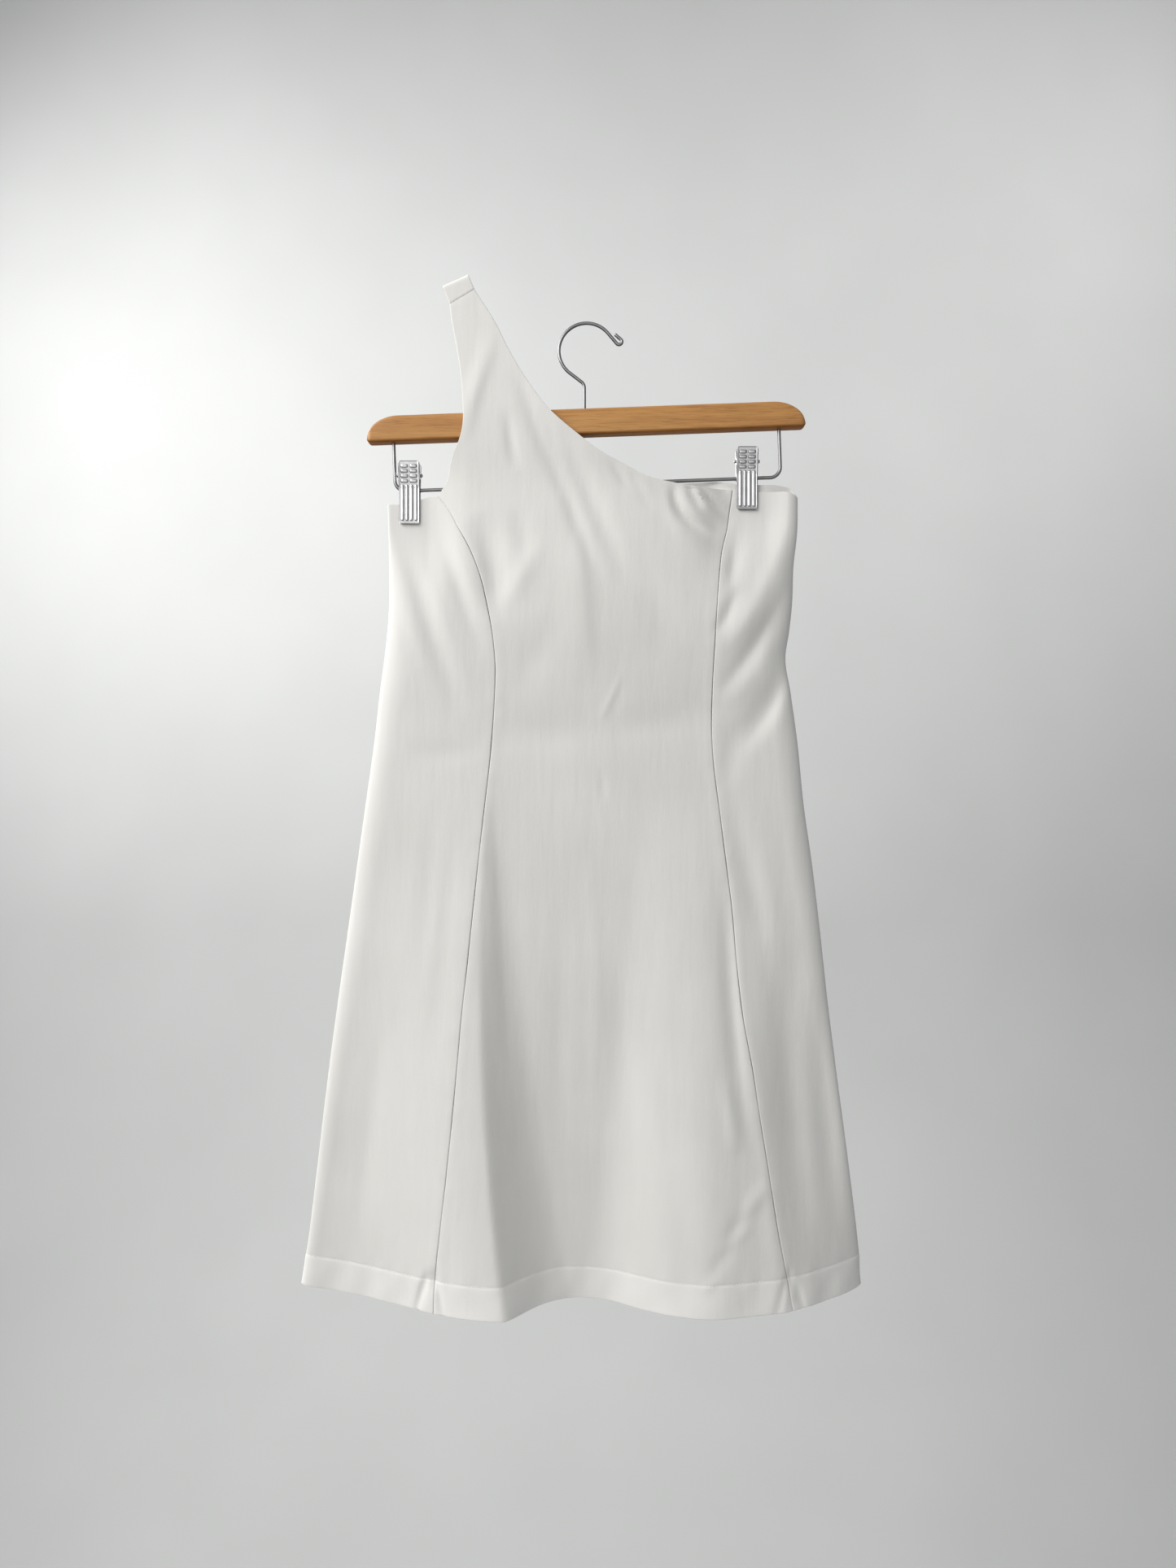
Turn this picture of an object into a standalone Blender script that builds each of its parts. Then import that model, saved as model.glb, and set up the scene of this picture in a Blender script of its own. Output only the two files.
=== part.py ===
"""A one-shoulder dress in white stretch cloth, hung by two clips on a wooden hanger.

The dress is four pieces of cloth: a centre front with its strap, two side fronts joined to it by
princess seams, and a back whose strap passes over the top to the shoulder seam on the front.
The hanger is a wooden bar, a wire hook, a wire rod and two steel clips.

Sizes below are in millimetres. +X is the viewer's right, +Y goes towards the back, +Z is up.
The origin is the underside of the hook's arch, where the hanger hangs.
"""
import math

import bmesh
import bpy
import numpy as np
from mathutils import Matrix

MM = 0.001

# Cloth
CLOTH = 1.2            # thickness of the cloth
SEAM_GAP = 0.3         # between two pieces that are sewn to each other
CLIP_BITE = 1.35       # outer face of a layer where a clip presses both layers flat
HEM_Z = -790.0         # lowest line of the skirt
HEM_RISE = 10.0        # how much higher the hem is at the side seams

# Side seams of the hanging dress: height, left seam, right seam
SIDES = np.array((
    (-141, -163.5, 170.8),
    (-170, -162.5, 170.3),
    (-195, -162.0, 167.5),
    (-230, -162.0, 166.0),
    (-252, -163.5, 163.5),
    (-270, -165.5, 160.8),
    (-300, -169.5, 165.0),
    (-340, -174.0, 170.5),
    (-390, -181.0, 175.5),
    (-440, -188.0, 182.5),
    (-490, -195.0, 188.5),
    (-550, -203.5, 195.0),
    (-610, -211.5, 202.5),
    (-690, -221.0, 213.0),
    (-750, -228.5, 220.0),
    (-790, -235.0, 223.0),
))

# Princess seams: height, left seam, right seam
PRINCESS = np.array((
    (-135, -126.0, 117.8),
    (-140, -122.0, 117.0),
    (-152, -113.0, 115.2),
    (-165, -106.0, 113.4),
    (-185, -95.0, 108.5),
    (-205, -87.0, 105.8),
    (-232, -80.5, 103.6),
    (-256, -76.3, 102.2),
    (-280, -74.4, 100.9),
    (-305, -75.2, 99.9),
    (-332, -77.0, 99.7),
    (-360, -79.5, 101.5),
    (-395, -83.5, 106.0),
    (-430, -87.3, 110.3),
    (-475, -92.0, 115.7),
    (-520, -96.5, 119.3),
    (-560, -100.7, 123.8),
    (-600, -104.0, 131.0),
    (-640, -107.6, 136.8),
    (-680, -111.5, 143.0),
    (-730, -117.0, 150.5),
    (-765, -120.5, 157.0),
    (-790, -121.0, 161.5),
))

# Top edge of the side fronts from the corner at the side seam to the princess seam: x, height
LEFT_TOP = np.array((
    (-163.5, -146.5), (-154.0, -146.2), (-135.0, -142.4), (-129.0, -140.2), (-122.0, -139.8),
))
RIGHT_TOP = np.array((
    (117.8, -135.0), (139.0, -136.4), (160.0, -136.6), (165.5, -138.0), (170.8, -141.5),
))

# Armhole edge of the front, from the left princess seam up to the shoulder seam: x, height
ARMHOLE = np.array((
    (-122.0, -139.8), (-117.5, -133.5), (-113.9, -126.4), (-111.4, -115.0), (-108.5, -105.0),
    (-104.0, -95.5), (-101.6, -86.0), (-101.3, -62.6), (-103.7, -36.4), (-107.1, -16.3),
    (-110.5, 1.2), (-112.2, 15.5),
))

# Neckline of the front, from the right princess seam up to the shoulder seam: x, height
NECKLINE = np.array((
    (117.8, -135.0), (97.1, -134.2), (77.9, -131.8), (63.4, -129.4), (47.5, -125.1), (30.1, -116.2),
    (7.7, -103.5), (-9.6, -90.2), (-30.6, -71.9), (-49.0, -47.9), (-63.3, -23.9), (-75.0, -0.1),
    (-92.2, 27.6),
))

# Edges of the back, from its top corners up to where the strap turns over: x, height
BACK_ARMHOLE = np.array((
    (-163.5, -146.5), (-154.0, -146.2), (-135.0, -142.4), (-122.0, -139.8), (-113.9, -126.4),
    (-108.5, -105.0), (-101.6, -86.0), (-101.3, -62.6), (-103.7, -36.4), (-107.1, -16.3),
    (-112.2, 15.5), (-117.0, 27.6),
))
BACK_NECKLINE = np.array((
    (170.8, -140.5), (166.5, -133.2), (157.0, -130.8), (138.0, -130.4), (120.5, -129.6), (104.7, -127.6),
    (71.6, -127.2), (47.0, -124.0), (30.1, -116.2), (7.7, -103.5), (-9.6, -90.2), (-30.6, -71.9),
    (-49.0, -47.9), (-63.3, -23.9), (-75.0, -0.1), (-92.2, 27.6), (-96.1, 36.9),
))
STRAP_LEAN = np.array((-0.367, 0.0, 0.930))   # direction of the strap where it turns over

# How far each layer stands out from the middle plane: height, front, back
STAND = np.array((
    (45, 4.6, 4.6),
    (25, 4.8, 4.8),
    (0, 6.6, 6.6),
    (-30, 8.8, 8.8),
    (-65, 10.6, 10.6),
    (-100, 10.6, 10.6),
    (-130, 10.0, 8.4),
    (-165, 13.0, 9.0),
    (-200, 16.5, 10.0),
    (-240, 18.0, 10.5),
    (-280, 15.5, 9.5),
    (-320, 12.5, 8.5),
    (-360, 12.0, 9.0),
    (-420, 12.0, 10.0),
    (-500, 11.0, 10.5),
    (-600, 9.0, 10.0),
    (-700, 7.0, 9.0),
    (-790, 5.5, 8.5),
))

# Long folds that open towards the hem: crest x at the hem, crest x where it starts, height where it
# starts, depth at the hem, width to the left and to the right at the hem
FRONT_DRAPE = (
    (-85.0, -78.0, -350.0, 44.0, 150.0, 52.0),
    (84.0, 78.0, -380.0, 38.0, 74.0, 74.0),
    (143.0, 112.0, -390.0, 35.0, 68.0, 76.0),
)
BACK_DRAPE = (
    (-150.0, -120.0, -420.0, 4.0, 60.0, 60.0),
    (-20.0, -10.0, -380.0, 5.0, 70.0, 70.0),
    (120.0, 95.0, -420.0, 4.5, 60.0, 65.0),
)

# Soft creases, each along a bent line: x and height of its start, middle and end, depth, width.
# A negative depth is a trough.
FRONT_CREASES = (
    (-76.0, -5.0, -88.0, -28.0, -99.0, -55.0, 1.2, 7.0),
    (-42.0, -91.0, -33.0, -120.0, -22.0, -150.0, -2.2, 9.0),
    (-23.0, -118.0, -18.0, -142.0, -12.0, -168.0, -1.6, 8.0),
    (-73.0, -185.0, -72.0, -205.0, -73.0, -228.0, -3.0, 11.0),
    (-152.0, -166.0, -137.0, -225.0, -111.0, -308.0, -2.8, 8.0),
    (-128.0, -164.0, -108.0, -200.0, -89.0, -266.0, -2.0, 6.5),
    (126.5, -162.0, 124.0, -184.0, 118.0, -206.0, -2.6, 6.0),
    (143.0, -158.0, 147.0, -200.0, 121.0, -266.0, 2.6, 9.0),
    (163.0, -212.0, 143.0, -243.0, 121.0, -270.0, -3.6, 8.0),
    (161.0, -270.0, 149.0, -300.0, 131.0, -328.0, -5.5, 7.0),
    (80.0, -137.0, 88.0, -152.0, 104.0, -164.0, -1.4, 4.0),
    (-57.0, -334.0, -35.0, -336.0, -13.0, -334.0, -1.6, 10.0),
    (113.0, -462.0, 118.0, -560.0, 126.0, -655.0, -2.6, 8.0),
    (163.0, -555.0, 166.0, -650.0, 170.0, -745.0, -4.0, 13.0),
)
BACK_CREASES = (
    (-140.0, -165.0, -105.0, -215.0, -60.0, -262.0, -2.2, 8.0),
    (125.0, -155.0, 98.0, -205.0, 58.0, -250.0, -2.2, 8.0),
    (-120.0, -338.0, 0.0, -328.0, 115.0, -340.0, -1.8, 9.0),
)

# Rows and columns of each wall
BODY_ROWS = 34
BACK_ROWS = 24
YOKE_ROWS = 16
BACK_YOKE_ROWS = 15
TURN_ROWS = 6
CENTRE_COLUMNS = 15
SIDE_COLUMNS = 8
# Columns of the back as shares of its width: close at the side seams and where the clips press it flat
BACK_COLUMNS = np.array((
    0.0, 0.008, 0.02, 0.05, 0.09, 0.145, 0.22, 0.32, 0.43, 0.54,
    0.65, 0.74, 0.80, 0.84, 0.875, 0.912, 0.95, 0.985, 1.0,
))

# Hanger
BAR_CENTRE = (-1.8, -80.1)      # x and height of the bar's middle
BAR_TILT = math.radians(2.1)    # the right end hangs higher
BAR_LENGTH = 356.0
BAR_HEIGHT = 21.0
BAR_DEPTH = 14.0
BAR_ROUND = 2.5
BAR_END_LONG = 26.0             # the bar's upper corners are quarter ellipses of these two sizes
BAR_END_TALL = 18.5
WIRE = 1.4                      # radius of the rod's wire
HOOK_WIRE = 1.36
SOCKET_GAP = 0.3
SOCKET_DEPTH = 9.0
ROD_DROP = 49.8                 # from the bar's middle down to the rod
ROD_HALF = 157.0                # from the bar's middle to a leg of the rod
ROD_BEND = 8.6
HOOK_ARCH = 22.6                # radius of the arch, at the wire's middle
HOOK_STEM_X = -3.0
HOOK_CENTRE_X = -1.1
HOOK_NECK = ((-3.0, -50.5), (-3.7, -48.2), (-5.6, -46.2))   # the bend above the stem: x, height
HOOK_FOLD = (25.2, -13.6)       # middle of the small turn that folds the wire's end back
HOOK_FOLD_RADIUS = 2.4
HOOK_END = (22.6, -8.2)

# Clips: name, x of the middle, height of the top edge
CLIPS = (("left", -145.2, -112.0), ("right", 129.3, -100.4))
CLIP_WIDTH = 17.4
CLIP_HEIGHT = 51.0
LEAF = 1.2
# Side view of a leaf: distance below its top, its inner face's distance from the middle plane
LEAF_SIDE = ((0.0, 5.2), (5.0, 4.7), (11.0, 3.6), (21.5, 1.75), (51.0, 1.75))
PIVOT_DROP = 11.0
PIN = 1.1
PIN_END = 2.0                   # the pin sticks out of the ears by this much at each side
EAR_THICK = 1.0
EAR_HALF = 2.7
EAR_REACH = 1.9                 # past the middle plane
PINCH_HALF = 13.0               # half width that a clip presses flat
PINCH_FADE_X = 22.0
PINCH_FADE_Z = 45.0
PINCH_RISE = 20.0               # the pinch fades above this distance below a clip's top
PINCH_FADE_UP = 25.0


def table_curve(table, column, height):
    """A smooth cubic through one column of a table whose first column is the height, from the top down."""
    z = -table[:, 0]
    v = table[:, column]
    slope = np.gradient(v, z)
    t = np.clip(-np.asarray(height, float), z[0], z[-1])
    k = np.clip(np.searchsorted(z, t, side="right") - 1, 0, len(z) - 2)
    step = z[k + 1] - z[k]
    f = (t - z[k]) / step
    start = (1 + 2 * f) * (1 - f) ** 2 * v[k] + f * (1 - f) ** 2 * step * slope[k]
    end = f * f * (3 - 2 * f) * v[k + 1] - f * f * (1 - f) * step * slope[k + 1]
    return start + end


def edge_curve(points, share):
    """Points at shares 0 to 1 of the length of an edge, on a smooth cubic through its points."""
    steps = np.hypot(*np.diff(points, axis=0).T)
    length = np.concatenate(((0.0,), np.cumsum(steps)))
    table = np.column_stack((-length, points))
    reach = -np.asarray(share) * length[-1]
    return table_curve(table, 1, reach), table_curve(table, 2, reach)


def drape(table, x, z):
    """Sum of long folds: each is a squared cosine across, and deepens and widens towards the hem."""
    total = np.zeros_like(x)
    for hem_x, start_x, start_z, depth, left, right in table:
        grow = np.clip((start_z - z) / (start_z - HEM_Z), 0.0, 1.0)
        away = x - (start_x + (hem_x - start_x) * grow)
        width = np.where(away < 0, left, right) * (0.45 + 0.55 * grow)
        across = np.cos(0.5 * math.pi * np.clip(away / width, -1.0, 1.0)) ** 2
        total += depth * grow ** 1.5 * across
    return total


def creases(table, x, z):
    """Sum of soft creases: a bell across a quadratic curve, fading to nothing at its two ends."""
    total = np.zeros_like(x)
    s = np.linspace(0.0, 1.0, 25)
    for x0, z0, xm, zm, x1, z1, depth, width in table:
        xc = 2 * xm - (x0 + x1) / 2
        zc = 2 * zm - (z0 + z1) / 2
        px = (1 - s) ** 2 * x0 + 2 * s * (1 - s) * xc + s * s * x1
        pz = (1 - s) ** 2 * z0 + 2 * s * (1 - s) * zc + s * s * z1
        away = (x[..., None] - px) ** 2 + (z[..., None] - pz) ** 2
        near = s[np.argmin(away, axis=-1)]
        fade = (4 * near * (1 - near)) ** 0.7
        total += depth * fade * np.exp(-away.min(axis=-1) / width ** 2)
    return total


def pinch(x, z):
    """One where a clip presses the cloth flat, fading to nothing around and below it."""
    free = np.ones_like(x)
    for _, clip_x, clip_top in CLIPS:
        beside = np.maximum(np.abs(x - clip_x) - PINCH_HALF, 0.0)
        below = np.maximum(clip_top - CLIP_HEIGHT - z, 0.0)
        above = np.maximum(z - clip_top + PINCH_RISE, 0.0)
        squares = (beside / PINCH_FADE_X) ** 2 + (below / PINCH_FADE_Z) ** 2 + (above / PINCH_FADE_UP) ** 2
        free *= 1 - np.exp(-squares)
    return 1 - free


def layer_depth(x, z, column, drapes, folds):
    """Distance of a layer's outer face from the middle plane.

    It is a dome of the height that STAND gives, with its folds, pressed flat at the clips and
    rounded like a quarter ellipse towards the two side seams.
    """
    left = table_curve(SIDES, 1, z)
    right = table_curve(SIDES, 2, z)
    across = (2 * x - left - right) / (right - left)
    dome = table_curve(STAND, column, z) * (0.75 + 0.25 * (1 - np.clip(across, -1, 1) ** 2))
    full = dome + drape(drapes, x, z) + creases(folds, x, z)
    depth = CLIP_BITE + np.maximum(full - CLIP_BITE, 0.0) * (1 - pinch(x, z))
    inside = np.clip(np.minimum(x - left, right - x) / (2 * depth), 0.0, 1.0)
    half_gap = SEAM_GAP / 2
    return half_gap + (depth - half_gap) * np.sqrt(1 - (1 - inside) ** 2)


def front_depth(x, z):
    return layer_depth(x, z, 1, FRONT_DRAPE, FRONT_CREASES)


def back_depth(x, z):
    return layer_depth(x, z, 2, BACK_DRAPE, BACK_CREASES)


def field(x, z, depth, side):
    """Outer points and outward normals of a layer; side is -1 for the front and 1 for the back."""
    step = 0.5
    points = np.stack((x, side * depth(x, z), z), axis=-1)
    slope_x = (depth(x + step, z) - depth(x - step, z)) / (2 * step)
    slope_z = (depth(x, z + step) - depth(x, z - step)) / (2 * step)
    normals = np.stack((-slope_x, np.full_like(x, side), -slope_z), axis=-1)
    return points, normals / np.linalg.norm(normals, axis=-1, keepdims=True)


def hem_height(x):
    left, right = SIDES[-1, 1:]
    across = np.clip((2 * x - left - right) / (right - left), -1, 1)
    return HEM_Z + HEM_RISE * across ** 4


def body_grid(rows, columns, left_edge, right_edge, top):
    """Rows from the hem to the top edge; a point's x lies between two edges at its own height."""
    share = np.linspace(0.0, 1.0, rows)[:, None]
    z = np.broadcast_to(HEM_Z * (1 - share) - 140.0 * share, (rows, len(columns)))
    for _ in range(6):
        x = left_edge(z) + (right_edge(z) - left_edge(z)) * columns
        z = hem_height(x) * (1 - share) + top(x) * share
    return x, z


def yoke_grid(rows, columns, left_points, right_points, crowd=1.0):
    """Rows that join two edges at equal shares of their lengths, without the first row.

    With crowd above 1 the rows lie closer to each other at the start.
    """
    share = np.linspace(0.0, 1.0, rows + 1)[1:] ** crowd
    left_x, left_z = edge_curve(left_points, share)
    right_x, right_z = edge_curve(right_points, share)
    x = left_x[:, None] + (right_x - left_x)[:, None] * columns
    z = left_z[:, None] + (right_z - left_z)[:, None] * columns
    return x, z


def inside_face(points, normals, side):
    """The outer points moved in by the cloth, kept on the layer's own side of the middle plane."""
    inner = points - normals * CLOTH
    inner[..., 1] = side * np.maximum(side * inner[..., 1], SEAM_GAP / 2)
    return inner


def wall(name, points, inner, colour):
    """A closed wall of cloth from its outer points, its inner points and a rim between their edges."""
    rows, columns = points.shape[:2]
    index = np.arange(rows * columns).reshape(rows, columns)
    quads = np.stack((index[:-1, :-1], index[:-1, 1:], index[1:, 1:], index[1:, :-1]), axis=-1)
    quads = quads.reshape(-1, 4)
    rim = np.concatenate((index[0, :], index[1:, -1], index[-1, -2::-1], index[-2:0:-1, 0]))
    ahead = np.roll(rim, -1)
    count = rows * columns
    sides = np.stack((rim, rim + count, ahead + count, ahead), axis=-1)
    faces = np.concatenate((quads, quads[:, ::-1] + count, sides))
    vertices = np.concatenate((points.reshape(-1, 3), inner.reshape(-1, 3))) * MM
    mesh = bpy.data.meshes.new(name)
    mesh.from_pydata(vertices.tolist(), [], faces.tolist())
    shape = bmesh.new()
    shape.from_mesh(mesh)
    bmesh.ops.recalc_face_normals(shape, faces=shape.faces)
    shape.to_mesh(mesh)
    shape.free()
    return add_object(name, mesh, colour, smooth=True)


def add_object(name, mesh, colour, smooth=False):
    piece = bpy.data.objects.new(name, mesh)
    parts.objects.link(piece)
    mesh.materials.append(material(name, *colour))
    if smooth:
        mesh.shade_smooth()
        mesh.set_sharp_from_angle(angle=math.radians(40))
    return piece


def material(name, red, green, blue, roughness, metallic):
    finish = bpy.data.materials.new(name)
    finish.use_nodes = True
    shader = finish.node_tree.nodes["Principled BSDF"]
    shader.inputs["Base Color"].default_value = (red, green, blue, 1.0)
    shader.inputs["Roughness"].default_value = roughness
    shader.inputs["Metallic"].default_value = metallic
    return finish


WHITE_CLOTH = (0.80, 0.80, 0.78, 0.75, 0.0)
HONEY_WOOD = (0.56, 0.32, 0.12, 0.40, 0.0)
STEEL = (0.55, 0.55, 0.55, 0.30, 1.0)
CHROME = (0.75, 0.75, 0.75, 0.15, 1.0)


def front_wall(name, x, z):
    points, normals = field(x, z, front_depth, -1)
    wall(name, points, inside_face(points, normals, -1), WHITE_CLOTH)


def make_front():
    """The centre front with its strap, and the two side fronts."""
    half_gap = SEAM_GAP / 2

    def centre_left(z):
        return table_curve(PRINCESS, 1, z) + half_gap

    def centre_right(z):
        return table_curve(PRINCESS, 2, z) - half_gap

    def centre_top(x):
        return np.interp(x, (ARMHOLE[0, 0], NECKLINE[0, 0]), (ARMHOLE[0, 1], NECKLINE[0, 1]))

    columns = np.linspace(0.0, 1.0, CENTRE_COLUMNS)
    body = body_grid(BODY_ROWS, columns, centre_left, centre_right, centre_top)
    lean = STRAP_LEAN[::2] * half_gap
    armhole = np.vstack((ARMHOLE[:-1], ARMHOLE[-1] - lean))
    neckline = np.vstack((NECKLINE[:-1], NECKLINE[-1] - lean))
    yoke = yoke_grid(YOKE_ROWS, columns, armhole, neckline)
    x, z = (np.concatenate(pair) for pair in zip(body, yoke))
    front_wall("front_centre", x, z)

    dense = 1 - np.cos(0.5 * math.pi * np.linspace(0.0, 1.0, SIDE_COLUMNS))
    x, z = body_grid(
        BODY_ROWS, dense,
        lambda z: table_curve(SIDES, 1, z),
        lambda z: table_curve(PRINCESS, 1, z) - half_gap,
        lambda x: np.interp(x, *LEFT_TOP.T),
    )
    front_wall("front_side_left", x, z)
    x, z = body_grid(
        BODY_ROWS, 1 - dense[::-1],
        lambda z: table_curve(PRINCESS, 2, z) + half_gap,
        lambda z: table_curve(SIDES, 2, z),
        lambda x: np.interp(x, *RIGHT_TOP.T),
    )
    front_wall("front_side_right", x, z)


def make_back():
    """The back: its body, its yoke and strap, the turn over the top, and the drop to the shoulder seam."""
    columns = BACK_COLUMNS
    body = body_grid(
        BACK_ROWS, columns,
        lambda z: table_curve(SIDES, 1, z),
        lambda z: table_curve(SIDES, 2, z),
        lambda x: np.interp(
            x,
            (BACK_ARMHOLE[0, 0], BACK_NECKLINE[0, 0]),
            (BACK_ARMHOLE[0, 1], BACK_NECKLINE[0, 1]),
        ),
    )
    yoke = yoke_grid(BACK_YOKE_ROWS, columns, BACK_ARMHOLE, BACK_NECKLINE, crowd=1.4)
    x, z = (np.concatenate(pair) for pair in zip(body, yoke))
    points, normals = field(x, z, back_depth, 1)
    inner = inside_face(points, normals, 1)

    base = points[-1]
    middle = base * (1.0, 0.0, 1.0)
    reach = base[:, 1:2]
    turns = []
    inner_turns = []
    for turn in np.linspace(0.0, math.pi, TURN_ROWS + 1)[1:]:
        outward = STRAP_LEAN * math.sin(turn) + np.array((0.0, math.cos(turn), 0.0))
        turns.append(middle + outward * reach)
        inner_turns.append(middle + outward * (reach - CLOTH))
    share = columns[:, None]
    seam = ARMHOLE[-1] * (1 - share) + NECKLINE[-1] * share + STRAP_LEAN[::2] * SEAM_GAP / 2
    drop = np.column_stack((seam[:, 0], -front_depth(*seam.T), seam[:, 1]))
    turns.append(drop)
    inner_turns.append(drop + (0.0, CLOTH, 0.0))
    wall("back", np.concatenate((points, turns)), np.concatenate((inner, inner_turns)), WHITE_CLOTH)


def bar_frame():
    """An empty at the bar's middle, turned by the bar's tilt; the bar and the rod are its children."""
    frame = bpy.data.objects.new("bar_frame", None)
    parts.objects.link(frame)
    frame.location = (BAR_CENTRE[0] * MM, 0.0, BAR_CENTRE[1] * MM)
    frame.rotation_euler = (0.0, -BAR_TILT, 0.0)
    bpy.context.view_layer.update()
    return frame


def wire(name, path, radius, colour):
    """A round wire along a path of (x, y, z) points."""
    curve = bpy.data.curves.new(name, "CURVE")
    curve.dimensions = "3D"
    curve.bevel_depth = radius * MM
    curve.bevel_resolution = 2
    curve.use_fill_caps = True
    spline = curve.splines.new("POLY")
    spline.points.add(len(path) - 1)
    for point, place in zip(spline.points, path):
        point.co = (place[0] * MM, place[1] * MM, place[2] * MM, 1.0)
    piece = bpy.data.objects.new(name, curve)
    parts.objects.link(piece)
    curve.materials.append(material(name, *colour))
    return piece


def arc(centre_x, centre_z, radius, start, end, steps):
    """Points on an arc in the middle plane, from a start to an end angle in degrees."""
    angles = np.radians(np.linspace(start, end, steps))
    return [(centre_x + radius * math.cos(a), 0.0, centre_z + radius * math.sin(a)) for a in angles]


def socket(name, x, z, height):
    """A hole for a wire's end: a cylinder that cuts the bar."""
    bpy.ops.mesh.primitive_cylinder_add(vertices=16, radius=1.0, depth=1.0)
    cutter = bpy.context.object
    cutter.name = name
    cutter.dimensions = (2 * (WIRE + SOCKET_GAP) * MM, 2 * (WIRE + SOCKET_GAP) * MM, height * MM)
    cutter.location = (x * MM, 0.0, z * MM)
    return as_cutter(cutter)


def as_cutter(piece):
    for collection in piece.users_collection:
        collection.objects.unlink(piece)
    cutters.objects.link(piece)
    piece.display_type = "WIRE"
    piece.hide_render = True
    return piece


def add_boolean(piece, other, operation):
    step = piece.modifiers.new(other.name, "BOOLEAN")
    step.operation = operation
    step.object = other
    step.solver = "EXACT"


def make_bar(frame):
    """The wooden bar: a flat outline with quarter-ellipse upper corners, its long edges rounded over."""
    half = BAR_LENGTH / 2
    top = BAR_HEIGHT / 2
    low = top - BAR_END_TALL
    turns = np.linspace(0.0, 0.5 * math.pi, 8)
    right = [(half - BAR_END_LONG * (1 - math.cos(a)), low + BAR_END_TALL * math.sin(a)) for a in turns]
    left = [(-x, z) for x, z in reversed(right)]
    outline = right + left + [(-half + 3.0, -top), (half - 3.0, -top)]
    curve = bpy.data.curves.new("bar_outline", "CURVE")
    curve.dimensions = "2D"
    curve.fill_mode = "BOTH"
    curve.extrude = BAR_DEPTH / 2 * MM
    spline = curve.splines.new("POLY")
    spline.points.add(len(outline) - 1)
    for point, (x, z) in zip(spline.points, outline):
        point.co = (x * MM, z * MM, 0.0, 1.0)
    spline.use_cyclic_u = True
    flat = bpy.data.objects.new("bar_outline", curve)
    parts.objects.link(flat)
    bpy.context.view_layer.update()
    mesh = bpy.data.meshes.new_from_object(flat.evaluated_get(bpy.context.evaluated_depsgraph_get()))
    bpy.data.objects.remove(flat)
    shape = bmesh.new()
    shape.from_mesh(mesh)
    bmesh.ops.remove_doubles(shape, verts=shape.verts, dist=1e-6)
    bmesh.ops.recalc_face_normals(shape, faces=shape.faces)
    shape.transform(Matrix.Rotation(math.radians(90), 4, "X"))
    shape.to_mesh(mesh)
    shape.free()
    mesh.materials.clear()
    bar = add_object("hanger_bar", mesh, HONEY_WOOD, smooth=True)
    bar.parent = frame
    bevel = bar.modifiers.new("rounded", "BEVEL")
    bevel.width = BAR_ROUND * MM
    bevel.segments = 2
    bevel.limit_method = "ANGLE"
    bevel.angle_limit = math.radians(40)
    depth = SOCKET_DEPTH + 2 * SOCKET_GAP
    for name, x in (("rod_socket_left", -ROD_HALF), ("rod_socket_right", ROD_HALF)):
        hole = socket(name, x, -top + depth / 2 - SOCKET_GAP, depth)
        hole.parent = frame
        add_boolean(bar, hole, "DIFFERENCE")
    stem_top = BAR_CENTRE[1] + top
    hole = socket("hook_socket", HOOK_STEM_X, stem_top - depth / 2 + SOCKET_GAP, depth)
    add_boolean(bar, hole, "DIFFERENCE")


def make_rod(frame):
    """The wire under the bar: a leg from each socket, two bends and the straight run between them."""
    start = -BAR_HEIGHT / 2 + SOCKET_DEPTH
    bend_z = -ROD_DROP + ROD_BEND
    bend_x = ROD_HALF - ROD_BEND
    path = [(-ROD_HALF, 0.0, start)]
    path += arc(-bend_x, bend_z, ROD_BEND, 180, 270, 6)
    path += arc(bend_x, bend_z, ROD_BEND, 270, 360, 6)
    path.append((ROD_HALF, 0.0, start))
    rod = wire("rod", path, WIRE, STEEL)
    rod.parent = frame


def make_hook():
    """The hook: a stem out of the bar, a bend, the arch, and the end folded back outwards."""
    centre_z = HOOK_WIRE - HOOK_ARCH
    stem_base = BAR_CENTRE[1] + BAR_HEIGHT / 2 - SOCKET_DEPTH + SOCKET_GAP
    path = [(HOOK_STEM_X, 0.0, stem_base)]
    path += [(x, 0.0, z) for x, z in HOOK_NECK]
    path += arc(HOOK_CENTRE_X, centre_z, HOOK_ARCH, 232, 38, 22)
    path += arc(*HOOK_FOLD, HOOK_FOLD_RADIUS, 218, 400, 7)
    path.append((HOOK_END[0], 0.0, HOOK_END[1]))
    wire("hook", path, HOOK_WIRE, STEEL)


def cube(name, low, high):
    """A plain block between two corners, used to shape a clip's leaf."""
    bpy.ops.mesh.primitive_cube_add(size=1.0)
    block = bpy.context.object
    block.name = name
    block.location = [(a + b) / 2 * MM for a, b in zip(low, high)]
    block.scale = [(b - a) * MM for a, b in zip(low, high)]
    return as_cutter(block)


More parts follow.
